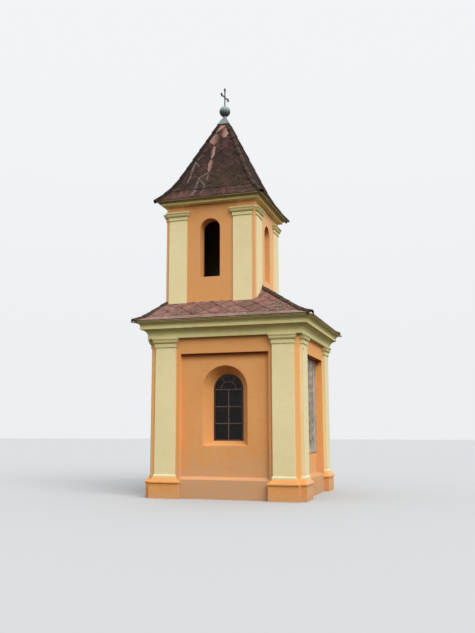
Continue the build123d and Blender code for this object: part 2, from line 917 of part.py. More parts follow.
export_step(tower_hip_tiles.part, "parts/tower_hip_tiles.step")

cap_foot_half = tower_roof_cut_half_width + cap_overlap
cap_foot = (-cap_foot_half, -cap_foot_half, cap_foot_half, cap_foot_half)
cap_head = (-neck_radius, -neck_radius, neck_radius, neck_radius)
cap_pyramid = frustum(cap_foot, cap_head, cap_rise)
with BuildPart() as spire_cap:
    with Locations((tower_middle, 0, tower_roof_cut)):
        add(cap_pyramid)
    with Locations((tower_middle, 0, neck_foot)):
        Cylinder(neck_radius, neck_length, align=(Align.CENTER, Align.CENTER, Align.MIN))
spire_cap.part.label = "spire_cap"
export_step(spire_cap.part, "parts/spire_cap.step")

# The ball is a stack of many-sided bands, the same above and below its middle, and it is cut flat
# where it stands on the neck and where the cross stands on it
head_angle = atan((ball_head - ball_centre) / cross_foot_radius)
band_angle = head_angle / ball_bands_each_half
ball_outline = [
    (ball_radius * cos(band * band_angle), ball_centre + ball_radius * sin(band * band_angle))
    for band in range(ball_bands_each_half + 1)
]
side_share = cos(pi / ball_sides)
with BuildPart() as ball:
    for (low_radius, low), (high_radius, high) in zip(ball_outline, ball_outline[1:]):
        lean = degrees(atan((low_radius - high_radius) * side_share / (high - low)))
        with BuildSketch(Plane.XY.offset(low)):
            with Locations((tower_middle, 0)):
                RegularPolygon(low_radius, ball_sides)
        extrude(amount=high - low, taper=lean)
    mirror(about=Plane.XY.offset(ball_centre))
    split(bisect_by=Plane.XY.offset(ball_foot))
ball.part.label = "ball"
export_step(ball.part, "parts/ball.step")

bar_direction = Vector(0, 1, 0).rotate(Axis.Z, cross_turn)
face_direction = Vector(1, 0, 0).rotate(Axis.Z, cross_turn)
cross_plane = Plane(origin=(tower_middle, 0, 0), x_dir=bar_direction, z_dir=face_direction)
with BuildPart() as cross:
    with BuildSketch(cross_plane):
        with Locations((0, ball_head)):
            Rectangle(
                cross_iron_width, cross_top - cross_bud_radius - ball_head,
                align=(Align.CENTER, Align.MIN),
            )
        with Locations((0, cross_bar_height)):
            Rectangle(2 * (cross_bar_half - cross_bud_radius), cross_iron_width)
        arm_ends = (
            Location((0, cross_top), 90),
            Location((cross_bar_half, cross_bar_height), 0),
            Location((-cross_bar_half, cross_bar_height), 180),
        )
        with Locations(*arm_ends):
            with Locations(
                (-cross_bud_radius, 0),
                (-2 * cross_bud_radius, cross_bud_radius),
                (-2 * cross_bud_radius, -cross_bud_radius),
            ):
                Circle(cross_bud_radius)
    extrude(amount=cross_iron_thickness / 2, both=True)
cross.part.label = "cross"
export_step(cross.part, "parts/cross.step")

# Window frames and panes, at the back of the splay

frame_hole = arch_outline(
    window_half_width - window_frame_width, window_springing, window_sill + window_frame_width
)
with BuildPart() as right_window_frame:
    with BuildSketch(Plane.XZ.offset(splay_back)):
        add(window_head)
        add(frame_hole, mode=Mode.SUBTRACT)
    extrude(amount=-window_frame_depth)
right_window_frame.part.label = "right_window_frame"
export_step(right_window_frame.part, "parts/right_window_frame.step")

with BuildPart() as left_window_frame:
    mirror(right_window_frame.part, about=Plane.XZ)
left_window_frame.part.label = "left_window_frame"
export_step(left_window_frame.part, "parts/left_window_frame.step")

with BuildPart() as right_window_glass:
    with BuildSketch(Plane.XZ.offset(splay_back - window_frame_depth / 2)):
        add(frame_hole)
    extrude(amount=glass_thickness / 2, both=True)
right_window_glass.part.label = "right_window_glass"
export_step(right_window_glass.part, "parts/right_window_glass.step")

with BuildPart() as left_window_glass:
    mirror(right_window_glass.part, about=Plane.XZ)
left_window_glass.part.label = "left_window_glass"
export_step(left_window_glass.part, "parts/left_window_glass.step")

# Fixed pair of door leaves under a solid round head

door_clear_half = door_half_width - door_frame_width
door_front = -half_length + panel_depth + door_setback
door_leaf_middle = door_front + door_frame_depth / 2
rail_foot = door_springing - door_rail_height
frame_outside = arch_outline(door_half_width, door_springing, floor_level)
frame_inside = arch_outline(door_clear_half, door_springing, 0)
with BuildPart() as door_frame:
    with BuildSketch(Plane.YZ.offset(door_front)):
        add(frame_outside)
        add(frame_inside, mode=Mode.SUBTRACT)
        with Locations((0, rail_foot)):
            Rectangle(2 * door_clear_half, door_rail_height, align=(Align.CENTER, Align.MIN))
    extrude(amount=door_frame_depth)
door_frame.part.label = "door_frame"
export_step(door_frame.part, "parts/door_frame.step")

with BuildPart() as door_leaf_right:
    with Locations((door_leaf_middle, -door_leaf_gap / 2, floor_level)):
        Box(
            door_leaf_thickness, door_clear_half - door_leaf_gap / 2, rail_foot - floor_level,
            align=(Align.CENTER, Align.MAX, Align.MIN),
        )
door_leaf_right.part.label = "door_leaf_right"
export_step(door_leaf_right.part, "parts/door_leaf_right.step")

with BuildPart() as door_leaf_left:
    mirror(door_leaf_right.part, about=Plane.XZ)
door_leaf_left.part.label = "door_leaf_left"
export_step(door_leaf_left.part, "parts/door_leaf_left.step")

with BuildPart() as door_head:
    with BuildSketch(Plane.YZ.offset(door_leaf_middle)):
        with Locations((0, door_springing)):
            Circle(door_clear_half)
            Rectangle(
                2 * door_clear_half, door_clear_half,
                align=(Align.CENTER, Align.MAX), mode=Mode.SUBTRACT,
            )
    extrude(amount=door_leaf_thickness / 2, both=True)
door_head.part.label = "door_head"
export_step(door_head.part, "parts/door_head.step")

# Plate with the picture, on the back of the rear niche

plate_height = panel_top - plate_head_gap - plate_foot
with BuildPart() as niche_plate:
    with Locations((half_length - niche_depth, 0, plate_foot)):
        Box(
            plate_thickness, 2 * (end_panel_half - plate_margin), plate_height,
            align=(Align.MIN, Align.CENTER, Align.MIN),
        )
niche_plate.part.label = "niche_plate"
export_step(niche_plate.part, "parts/niche_plate.step")
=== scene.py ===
from functools import partialmethod
from math import pi, radians
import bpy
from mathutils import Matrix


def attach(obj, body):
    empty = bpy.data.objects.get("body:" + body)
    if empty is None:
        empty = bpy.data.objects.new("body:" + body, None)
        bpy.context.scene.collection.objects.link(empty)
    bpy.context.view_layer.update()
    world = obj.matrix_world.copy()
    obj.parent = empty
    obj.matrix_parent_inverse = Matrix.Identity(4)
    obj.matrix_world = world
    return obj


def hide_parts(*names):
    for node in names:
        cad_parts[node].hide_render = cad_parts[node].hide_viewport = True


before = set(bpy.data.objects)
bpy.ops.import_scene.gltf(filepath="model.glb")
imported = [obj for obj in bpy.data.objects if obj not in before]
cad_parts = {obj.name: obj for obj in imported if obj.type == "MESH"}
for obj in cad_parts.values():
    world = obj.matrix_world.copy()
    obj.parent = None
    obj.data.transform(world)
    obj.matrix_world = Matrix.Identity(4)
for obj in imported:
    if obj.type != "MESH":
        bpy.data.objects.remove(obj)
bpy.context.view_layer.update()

from types import SimpleNamespace

import bmesh
import bpy
import numpy as np

# Walls of the body and the tower: masonry under a smooth lime render, painted a warm orange.
# The paint is mottled, a little washed by rain in upright runs and splashed grey near the
# ground.


def screen(red, green, blue):
    """Linear colour of an 8-bit screen colour, each channel through the screen's own curve."""
    part = np.array((red, green, blue)) / 255
    return (*np.where(part <= 0.04045, part / 12.92, ((part + 0.055) / 1.055) ** 2.4), 1.0)


def feed(sockets, values):
    """Gives sockets, by name or number, what another node puts out or a plain value."""
    for name, value in values.items():
        value = getattr(value, "socket", value)
        if isinstance(value, bpy.types.NodeSocket):
            value.id_data.links.new(value, sockets[name])
        else:
            sockets[name].default_value = value


def add_node(tree, kind, inputs=(), **settings):
    """Node with its settings and then its inputs."""
    node = tree.nodes.new(kind)
    for name, value in settings.items():
        setattr(node, name, value)
    feed(node.inputs, dict(inputs))
    return node


class Field:
    """What a node puts out: a colour, a number, or a vector. Sums on it add maths nodes."""

    def __init__(self, socket):
        self.socket, self.tree = socket, socket.id_data

    def maths(self, operation, other=None, output=0):
        """One operation on this value, or on this and another."""
        kind = "ShaderNodeVectorMath" if self.socket.type == "VECTOR" else "ShaderNodeMath"
        inputs = {0: self} if other is None else {0: self, 1: other}
        return Field(add_node(self.tree, kind, inputs, operation=operation).outputs[output])

    def split(self):
        """The three numbers of a vector."""
        node = add_node(self.tree, "ShaderNodeSeparateXYZ", {0: self})
        return [Field(part) for part in node.outputs]

    def __rsub__(self, other):
        return self * -1.0 + other

    __add__ = partialmethod(maths, "ADD")
    __sub__ = partialmethod(maths, "SUBTRACT")
    __mul__ = partialmethod(maths, "MULTIPLY")
    __truediv__ = partialmethod(maths, "DIVIDE")
    __gt__ = partialmethod(maths, "GREATER_THAN")
    __lt__ = partialmethod(maths, "LESS_THAN")
    __abs__ = partialmethod(maths, "ABSOLUTE")


def spread(value, low, high, to_low=0.0, to_high=1.0):
    """Number drawn out from low..high to another range, with soft ends."""
    ends = {"From Min": low, "From Max": high, "To Min": to_low, "To Max": to_high}
    node = add_node(
        value.tree, "ShaderNodeMapRange", {"Value": value, **ends}, interpolation_type="SMOOTHSTEP"
    )
    return Field(node.outputs[0])


def noise(place, scale, detail, low, high):
    """Cloudy mask: 0 where the noise is below low, 1 where it is above high."""
    inputs = {"Vector": place, "Scale": scale, "Detail": detail}
    return spread(Field(add_node(place.tree, "ShaderNodeTexNoise", inputs).outputs[0]), low, high)


def mixed(mask, first, second, blend="MIX"):
    """Second colour laid over the first where the mask is 1."""
    inputs = {0: mask, 6: first, 7: second}
    node = add_node(mask.tree, "ShaderNodeMix", inputs, data_type="RGBA", blend_type=blend)
    return Field(node.outputs[2])


def layered(coat, *layers):
    """Coat with more colours laid over it in turn, each where its mask is 1."""
    for mask, colour in layers:
        coat = mixed(mask, coat, colour)
    return coat


def object_place(tree):
    """Place on the piece in metres."""
    return Field(add_node(tree, "ShaderNodeTexCoord").outputs["Object"])


def facing_parts(tree):
    """The three numbers of the direction that the surface faces."""
    return Field(add_node(tree, "ShaderNodeNewGeometry").outputs["Normal"]).split()


def new_group(name, colours, outputs=("color", "roughness", "height"), **numbers):
    """Empty shader group: its tree, its inputs by name, its end sockets, and the object place."""
    group = bpy.data.node_groups.new(name, "ShaderNodeTree")
    add_socket = group.interface.new_socket
    for label in colours:
        add_socket(label, in_out="INPUT", socket_type="NodeSocketColor")
    for label, value in numbers.items():
        kind = "NodeSocketVector" if np.ndim(value) else "NodeSocketFloat"
        add_socket(label, in_out="INPUT", socket_type=kind).default_value = value
    for label in outputs:
        kind = "NodeSocketColor" if label == "color" else "NodeSocketFloat"
        add_socket(label, in_out="OUTPUT", socket_type=kind)
    start = group.nodes.new("NodeGroupInput").outputs
    given = SimpleNamespace(**{label: Field(start[label]) for label in (*colours, *numbers)})
    return group, given, group.nodes.new("NodeGroupOutput").inputs, object_place(group)


def end_group(put_out, coat, mask, smooth, rough, height):
    """Gives a group its colour, its height, and a roughness that follows a mask."""
    roughness = spread(mask, 0, 1, smooth, rough)
    feed(put_out, {"color": coat, "roughness": roughness, "height": height})


# Painted render: broad clouds and small patches of the stained tone, upright rain runs, a splash
# zone that fades upwards in a ragged line, and the grain and trowel waves for the bump. A
# storey's ends, corners and reveals get paler coats as painted light; its undersides and a band
# under a given head get darker coats as painted shade, and the room inside a bare coat, darkened
# further as painted shade.
painted_render, given, put_out, place = new_group(
    "painted render",
    (
        "coat", "stain", "splash", "room_coat", "corner_coat", "end_coat", "under_coat",
        "sheltered_coat", "reveal_coat",
    ),
    mottle=0.5, runs=0.5, splash_height=0.4, room_middle=(0, 0, 0), room_half=(0, 0, 0),
    storey_half=(1, 1, 1), corner_wear=0, end_wear=0, under_dirt=0, shelter=0, shelter_head=99,
    shelter_reach=1, reveal_wear=0,
)
height = place.split()[2]
clouds = noise(place, 0.8, 4, 0.35, 0.7)
patches = noise(place, 6, 5, 0.45, 0.72)
marks = noise(place, 34, 4, 0.60, 0.75)
runs = noise(place * (9, 9, 0.5), 1, 5, 0.52, 0.78)
grain = noise(place, 150, 2, 0.3, 0.7)
trowel = noise(place * (5, 5, 9), 1, 3, 0.2, 0.8)
splashed = spread(height / given.splash_height + patches * 0.3, 0.1, 1.3, 0.8, 0.0)
off_axis = abs(place - given.room_middle)
inside_x, inside_y, _ = (given.room_half - off_axis).split()
# The room inside takes a bare coat, darkened as painted shade.
in_room = inside_x.maths("MINIMUM", inside_y) > 0.0
share_x, share_y, _ = (off_axis / given.storey_half).split()
least_share = share_x.maths("MINIMUM", share_y)
# The strips at a storey's corners are painted paler, as painted light.
at_corner = spread(least_share, 0.934, 0.944)
facing_x, facing_y, facing_z = facing_parts(painted_render)
# Faces looking along the storey's length are painted paler, as painted light.
at_end = spread(abs(facing_x), 0.6, 0.9) * spread(share_x, 0.5, 0.6)
# Reveals that look across, near the ends, are painted paler, as painted light.
in_reveal = spread(share_x, 0.7, 0.75) * spread(share_y, 0.62, 0.60)
in_reveal = in_reveal * spread(abs(facing_y), 0.6, 0.9)
# A band just under the given head is painted darker, as painted shadow.
below_head = given.shelter_head - height
under_head_shadow = spread(below_head / given.shelter_reach, 0.0, 1.0, 1.0, 0.0)
under_head_shadow = under_head_shadow * (below_head > -0.002) * (least_share < 0.6)
coat = layered(
    given.coat, (clouds * given.mottle, given.stain),
    (patches * (given.mottle * 0.55), given.stain), (marks * (given.mottle * 0.5), given.splash),
    (runs * given.runs, given.stain),
)
coat = mixed(grain * 0.10, coat, (0.2, 0.15, 0.1, 1.0), "MULTIPLY")
coat = layered(
    coat, (at_end * given.end_wear, given.end_coat),
    (in_reveal * given.reveal_wear, given.reveal_coat), (splashed, given.splash),
    (at_corner * given.corner_wear, given.corner_coat),
    # Faces looking down are painted darker, as painted shade.
    (spread(facing_z, -0.3, -0.8) * given.under_dirt, given.under_coat),
    (under_head_shadow * given.shelter, given.sheltered_coat), (in_room, given.room_coat),
)
end_group(put_out, coat, patches, 0.82, 0.94, trowel + grain * 0.35)


def new_material(name):
    """Material, its node tree and its shader's inputs."""
    material = bpy.data.materials.new(name)
    material.use_nodes = True
    return material, material.node_tree, material.node_tree.nodes["Principled BSDF"].inputs


def surface(name, group, bump, gleam=0.25, metallic=0.0, **values):
    """Material whose colour, roughness and bump come from a group, given its own values. Colours
    are 8-bit screen colours."""
    material, tree, shader = new_material(name)
    look = add_node(tree, "ShaderNodeGroup", node_tree=group)
    for label, value in values.items():
        colour = look.inputs[label].type == "RGBA"
        feed(look.inputs, {label: screen(*value) if colour else value})
    relief = {"Height": look.outputs["height"], "Distance": bump, "Strength": 0.6}
    feed(shader, {
        "Base Color": look.outputs["color"], "Roughness": look.outputs["roughness"],
        "Normal": add_node(tree, "ShaderNodeBump", relief).outputs["Normal"],
        "Specular IOR Level": gleam, "Metallic": metallic,
    })
    return material


def dress(material, *names):
    """Gives CAD nodes their finish."""
    for name in names:
        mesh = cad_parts[name].data
        mesh.materials.clear()
        mesh.materials.append(material)


render_bump = 0.003
tower_middle, tower_half = -0.543, 1.156
# Coats for ends, corners and reveals are paler, as painted light; coats for undersides, the band
# under a head and the room are darker, as painted shade.
orange = dict(
    stain=(201, 137, 77), splash=(186, 146, 112), room_coat=(96, 88, 82), under_coat=(202, 132, 76),
    sheltered_coat=(150, 78, 34), mottle=0.35, runs=0.22, splash_height=1.1, corner_wear=0.85,
    end_wear=0.75, reveal_wear=0.9, under_dirt=0.9,
)
# On the body a painted shadow darkens the recessed panels just under their heads.
body_paint = surface(
    "orange body paint", painted_render, render_bump, coat=(217, 155, 95),
    corner_coat=(229, 176, 114), end_coat=(236, 170, 106), reveal_coat=(229, 164, 96),
    room_half=(1.283, 1.223, 9), storey_half=(1.78, 1.72, 9), shelter=0.9, shelter_head=3.32,
    shelter_reach=0.2, **orange,
)
# The tower's coat is a little darker than the body's, as painted shade, and a painted shadow
# darkens its walls just under the cornice.
tower_paint = surface(
    "orange tower paint", painted_render, render_bump, coat=(211, 153, 95),
    corner_coat=(212, 164, 114), end_coat=(230, 183, 132), reveal_coat=(233, 169, 106),
    room_middle=(tower_middle, 0, 0), room_half=(0.859, 0.859, 9),
    storey_half=(tower_half, tower_half, 9), shelter=0.45, shelter_head=7.2, shelter_reach=0.3,
    **orange,
)
dress(
    body_paint, "right_wall", "left_wall", "rear_wall", "front_wall_right", "front_wall_left",
    "front_wall_over_door",
)
dress(tower_paint, "tower_right_wall", "tower_left_wall", "tower_front_wall", "tower_rear_wall")

# Pedestals of the corner piers: the same render with a bevelled cap, painted orange. They stand
# in the splash of the eaves, so they are paler, greyer and more stained than the walls, and
# their ends are painted paler still as painted light.
pedestal_paint = surface(
    "pedestal paint", painted_render, 0.004, coat=(218, 153, 88), stain=(202, 136, 78),
    splash=(200, 150, 106), end_coat=(207, 163, 122), mottle=0.45, runs=0.2, splash_height=0.2,
    end_wear=0.8,
)
dress(pedestal_paint, "side_pedestals", "end_pedestals")

# Pilasters of the body and the tower: flat render shafts, brushed a pale yellow, on a small
# flared base that the rain keeps dirty.
# The pilasters' ends take a coat of their own, as painted light.
pilaster_paint = surface(
    "yellow pilaster paint", painted_render, render_bump, coat=(226, 213, 166),
    stain=(214, 196, 146), splash=(188, 178, 146), end_coat=(223, 209, 169), mottle=0.4, runs=0.22,
    splash_height=0.62, end_wear=0.8,
)
dress(
    pilaster_paint, "side_pilasters", "end_pilasters", "tower_side_pilasters",
    "tower_end_pilasters",
)

# Capitals and cornices: mouldings run in mortar with a template along the wall's head, painted
# a greener yellow. Soot and lichen have settled on them. Their undersides, and most of all the
# band just under the eaves, are painted darker as painted shade.
moulding = dict(
    splash=(170, 158, 112), sheltered_coat=(112, 94, 50), mottle=0.5, runs=0.25, splash_height=0.1,
    storey_half=(9, 9, 9), under_dirt=0.4, shelter=0.9, shelter_reach=0.05,
)
moulding_paint = surface(
    "moulding paint", painted_render, render_bump, coat=(214, 204, 150), stain=(190, 176, 118),
    under_coat=(206, 188, 114), shelter_head=4.09, **moulding,
)
# The tower's cornice takes a paler copy of the moulding paint, as painted light.
tower_cornice_painted_lighter = surface(
    "tower cornice paint painted lighter", painted_render, render_bump, coat=(234, 220, 162),
    stain=(210, 194, 134), under_coat=(224, 204, 130), shelter_head=7.245, **moulding,
)
dress(
    moulding_paint, "side_capitals", "end_capitals", "main_cornice", "tower_side_capitals",
    "tower_end_capitals",
)
dress(tower_cornice_painted_lighter, "tower_cornice")

# Windows of the body: a steel frame with glazing bars of rolled T-section, bedded in putty. Three
# panes high and two wide, under a fan of a half ring and two spokes. The panes are dusty.
frame_half, frame_sill, springing = 0.325, 1.34, 2.487
bar_heights = (2.487, 2.088, 1.698)
fan_radius, spoke_angles = 0.187, (60, 120)
bar_section = np.array([
    (-0.009, -1.337), (0.009, -1.337), (0.012, -1.318), (0.012, -1.304),
    (0.004, -1.288), (-0.004, -1.288), (-0.012, -1.304), (-0.012, -1.318),
])


def polar(angle):
    """Unit directions at angles from the first axis towards the second."""
    return np.stack([np.cos(angle), np.sin(angle)], -1)


def grid_quads(rows, columns, rows_closed=False, columns_closed=False):
    """Corner numbers of a grid's quads: corner (i, j) is number i times columns plus j."""
    i = np.arange(rows if rows_closed else rows - 1)
    j = np.arange(columns if columns_closed else columns - 1)
    i, j = np.meshgrid(i, j, indexing="ij")
    row, below, right = i * columns, (i + 1) % rows * columns, (j + 1) % columns
    return np.stack([row + j, below + j, below + right, row + right], -1).reshape(-1, 4)


def tube_faces(rings, points, closed=False):
    """Faces of a tube: its skin, and its two ends unless it closes on itself."""
    blocks = [grid_quads(rings, points, closed, True)]
    if not closed:
        end = np.arange(points)[None]
        blocks += [end[:, ::-1], end + (rings - 1) * points]
    return blocks


def swept(path, side, up, section, closed=False):
    """Section carried along a path: path point plus side times its first number plus up times
    its second."""
    path, section = np.asarray(path, float), np.asarray(section, float)
    side, up = (np.broadcast_to(np.asarray(way, float), path.shape)[:, None] for way in (side, up))
    corners = path[:, None] + side * section[:, :1] + up * section[:, 1:]
    return corners.reshape(-1, 3), tube_faces(len(path), len(section), closed)


def joined(shells):
    """Several shells as one: their corners in a row, their faces' numbers moved along."""
    starts = np.cumsum([0] + [len(corners) for corners, _ in shells])
    blocks = [block + start for (_, own), start in zip(shells, starts) for block in own]
    return np.concatenate([corners for corners, _ in shells]), blocks


def make_mesh(corners, blocks, marks=None):
    """Mesh of corners and face blocks, with vectors per corner as attributes."""
    mesh = bpy.data.meshes.new("made")
    mesh.from_pydata(corners.tolist(), [], [face for block in blocks for face in block.tolist()])
    for label, values in (marks or {}).items():
        values = np.asarray(values, np.float32).ravel()
        mesh.attributes.new(label, "FLOAT_VECTOR", "POINT").data.foreach_set("vector", values)
    return mesh


def new_object(name, data):
    """Object in the scene."""
    thing = bpy.data.objects.new(name, data)
    bpy.context.scene.collection.objects.link(thing)
    return thing


def new_piece(name, mesh, material, sharp=35):
    """Piece on the root body, its faces turned outwards and its shading split at sharp edges."""
    shape = bmesh.new()
    shape.from_mesh(mesh)
    bmesh.ops.recalc_face_normals(shape, faces=shape.faces)
    shape.to_mesh(mesh)
    shape.free()
    mesh.polygons.foreach_set("use_smooth", np.ones(len(mesh.polygons), bool))
    mesh.set_sharp_from_angle(angle=radians(sharp))
    mesh.materials.append(material)
    piece = new_object(name, mesh)
    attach(piece, "root")
    return piece


inwards = (0, 1, 0)
main_bar, fan_bar = bar_section * (0.8, 1), bar_section * (0.5, 1)
bars = [
    swept([(-frame_half, 0, z), (frame_half, 0, z)], (0, 0, 1), inwards, main_bar)
    for z in bar_heights
]
bars.append(swept([(0, 0, frame_sill), (0, 0, springing)], (1, 0, 0), inwards, main_bar))
outwards = np.insert(polar(np.linspace(0, pi, 25)), 1, 0, axis=1)
bars.append(swept((0, 0, springing) + outwards * fan_radius, outwards, inwards, fan_bar))
for across, up in polar(np.radians(spoke_angles)):
    ends = [(across * reach, 0, up * reach + springing) for reach in (fan_radius, frame_half)]
    bars.append(swept(ends, (-up, 0, across), inwards, fan_bar))
bar_corners, bar_faces = joined(bars)

# Old iron paint: clouds and specks of rust over a dull coat.
old_iron, given, put_out, place = new_group("old iron paint", ("coat", "rust"), rusting=0.4)
rust = noise(place, 14, 6, 0.42, 0.7)
specks = noise(place, 120, 3, 0.55, 0.75)
coat = layered(given.coat, (rust * given.rusting, given.rust), (specks * given.rusting, given.rust))
end_group(put_out, coat, rust, 0.5, 0.85, rust + specks)

bar_paint = surface(
    "glazing bar paint", old_iron, 0.001, coat=(112, 89, 82), rust=(84, 58, 46), rusting=0.5
)
frame_paint = surface(
    "window frame paint", old_iron, 0.001, coat=(66, 46, 40), rust=(50, 32, 26), rusting=0.6
)
for wall, hand in (("right", 1), ("left", -1)):
    mesh = make_mesh(bar_corners * (1, hand, 1), bar_faces)
    new_piece(wall + "_glazing_bars", mesh, bar_paint)
dress(frame_paint, "right_window_frame", "left_window_frame")

glass, tree, shader = new_material("dusty window glass")
place = object_place(tree)
dust = noise(place, 5, 6, 0.4, 0.75)
film = dust + noise(place, 70, 3, 0.4, 0.8) * 0.3
feed(shader, {
    "Base Color": mixed(dust, screen(134, 130, 98), screen(112, 102, 74)),
    "Roughness": spread(film, 0.0, 1.3, 0.2, 0.26), "Transmission Weight": 1.0, "IOR": 1.3,
    "Specular IOR Level": 0.25,
})
dress(glass, "right_window_glass", "left_window_glass")

# Picture in the rear niche: a cast panel screwed to the back of the niche, with a plain raised
# border and a low relief of upright stems with paired leaves, in weathered greys.
plate_face, plate_half, plate_foot, plate_head = 1.614, 0.96, 0.985, 3.295
border_width, stem_places = 0.055, (-0.56, -0.19, 0.19, 0.56)
leaf_rows, leaf_length, leaf_half_width = 9, 0.21, 0.042
leaf_rim, leaf_rise, leaf_fold, leaf_sunk = 0.001, 0.006, 0.002, 0.002
stem_sway, stem_waves, stem_end, stem_radii = 0.018, 5.5, 0.12, (0.009, 0.006)
lowest_leaf, highest_leaf, stem_stagger, hand_stagger = 0.2, 0.36, 0.05, 0.035
leaf_lean, lean_change = 52, 9


def circle(count, *radii):
    """Points round a circle, or round an ellipse where there are two radii."""
    return polar(np.arange(count) * 2 * pi / count) * radii


def repeated(faces, count, step):
    """Faces of so many copies whose corners follow each other."""
    return (faces + (np.arange(count) * step)[:, None, None]).reshape(-1, 4)


def slab_faces(rows, columns, count):
    """Faces of so many slabs, each a front grid, a back grid behind it and walls round the rim."""
    size, left = rows * columns, np.arange(rows) * columns
    rim = np.concatenate([
        np.arange(columns), left[1:] + columns - 1, size - 2 - np.arange(columns - 2), left[:0:-1]
    ])
    walls = np.stack([rim, np.roll(rim, -1), np.roll(rim, -1) + size, rim + size], 1)
    quads = grid_quads(rows, columns)
    one = np.concatenate([quads, quads[:, ::-1] + size, walls[:, ::-1]])
    return [repeated(one, count, 2 * size)]


def leaf_shells(roots, directions):
    """Lens-shaped leaves on the plate: half width times sin(pi t) to the 0.8 along the rib, and a
    rise from the rim that is greatest beside the rib, with a fold along the rib."""
    t, s = np.meshgrid(np.linspace(0, 1, 9), np.linspace(-1, 1, 5), indexing="ij")
    wide = leaf_half_width * np.sin(pi * np.clip(t, 0.02, 0.98)) ** 0.8 * (1.1 - 0.4 * t)
    ahead = directions[:, None, None]
    across = np.stack([-ahead[..., 1], ahead[..., 0]], -1)
    leaves = np.empty((len(roots), 2, *t.shape, 3))
    leaves[..., 0] = plate_face - leaf_sunk
    rise = leaf_rise * (1 - s**2) - leaf_fold * (abs(s) < 0.1)
    leaves[:, 0, ..., 0] = plate_face + leaf_rim + rise
    flat = ahead * (t * leaf_length)[..., None] + across * (s * wide)[..., None]
    leaves[..., 1:] = (roots[:, None, None] + flat)[:, None]
    return leaves.reshape(-1, 3), slab_faces(*t.shape, len(roots))


stems, roots, directions = [], [], []
stem_heights = np.linspace(plate_foot + stem_end, plate_head - stem_end, 40)
for number, middle in enumerate(stem_places):
    sway = middle + stem_sway * np.sin(stem_heights * stem_waves + number)
    path = np.stack([0 * sway + plate_face, sway, stem_heights], 1)
    stems.append(swept(path, (0, 1, 0), (1, 0, 0), circle(8, *stem_radii)))
    at = np.linspace(plate_foot + lowest_leaf, plate_head - highest_leaf, leaf_rows)
    at = at + stem_stagger * (number % 2)
    for hand in (-1, 1):
        up = at + hand_stagger * (hand > 0)
        roots.append(np.stack([np.interp(at, stem_heights, sway), up], 1))
        lean = np.radians(leaf_lean + lean_change * np.sin(3 * at + number))
        directions.append(polar(lean) * (hand, 1))
leaves = leaf_shells(np.concatenate(roots), np.concatenate(directions))
border_middle = np.array((plate_face, 0, (plate_head + plate_foot) / 2))
border_reach = (plate_half - border_width / 2, (plate_head - plate_foot - border_width) / 2)
border_side = np.array([(0, -1, -1), (0, 1, -1), (0, 1, 1), (0, -1, 1)])
border_section = [
    (-0.027, -0.002), (0.027, -0.002), (0.027, 0.006), (0.012, 0.011), (-0.018, 0.011),
    (-0.027, 0.004),
]
border_path = border_middle + border_side * (1, *border_reach)
border = swept(border_path, border_side, (1, 0, 0), border_section, closed=True)

# Weathered cast: grey clouds, dark rain runs and pale worn patches.
weathered_cast, given, put_out, place = new_group(
    "weathered cast", ("body", "dark", "pale"), runs=0.6, size=1.0
)
place = place * given.size
clouds = noise(place, 3, 5, 0.38, 0.68)
runs = noise(place * (12, 12, 0.9), 1, 5, 0.45, 0.7)
pits = noise(place, 60, 4, 0.5, 0.8)
coat = layered(
    given.body, (clouds, given.pale), (runs * given.runs, given.dark), (pits * 0.5, given.dark)
)
end_group(put_out, coat, clouds, 0.75, 0.95, clouds - pits)

plate_finish = surface(
    "cast picture ground", weathered_cast, 0.003, body=(160, 148, 132), dark=(112, 102, 94),
    pale=(186, 176, 160), runs=0.65,
)
leaf_finish = surface(
    "cast leaves", weathered_cast, 0.002, body=(112, 102, 94), dark=(84, 76, 70),
    pale=(150, 140, 126), runs=0.5, size=1.4,
)
dress(plate_finish, "niche_plate")
new_piece("picture_border", make_mesh(*border), plate_finish)
new_piece("picture_leaves", make_mesh(*joined([leaves, *stems])), leaf_finish, 50)

# Entrance door: two boarded leaves in a wooden frame under a fixed round head, with iron strap
# hinges nailed across the boards, a lock plate and a ring to pull. The wood is dark and dry.
leaf_face, iron_back = -1.5675, -1.58
board_edges = np.linspace(0.006, 0.386, 4)
board_foot, board_head, board_gap, board_sunk = 0.175, 1.995, 0.002, 0.001
board_side, board_front, bevel = 0.009, 0.014, 0.006
board_path = [(leaf_face + board_sunk, 0, z) for z in (board_foot, board_head)]
strap_heights, nail_places = (0.46, 1.70), (0.35, 0.24, 0.14)
strap_reach = np.array((0.386, 0.30, 0.12, 0.085))
strap_half = np.array((0.024, 0.022, 0.016, 0.003))
strap_thickness, lock_thickness = 0.006, 0.004
lock_plate = [(0.03, 0.98), (0.085, 0.98), (0.085, 1.20), (0.03, 1.20)]
ring_middle, ring_radius, ring_wire = (leaf_face - 0.026, 0.0575, 1.09), 0.04, 0.006
nail_radii, nail_depths = np.array((0.008, 0.0065, 0.003)), np.array((0.005, 0.0085, 0.010))


def flat_iron(outline, thick):
    """Flat iron on the boards, cut to an outline of places across and up."""
    path = [(iron_back, 0, 0), (iron_back - thick, 0, 0)]
    return swept(path, (0, 1, 0), (0, 0, 1), outline)


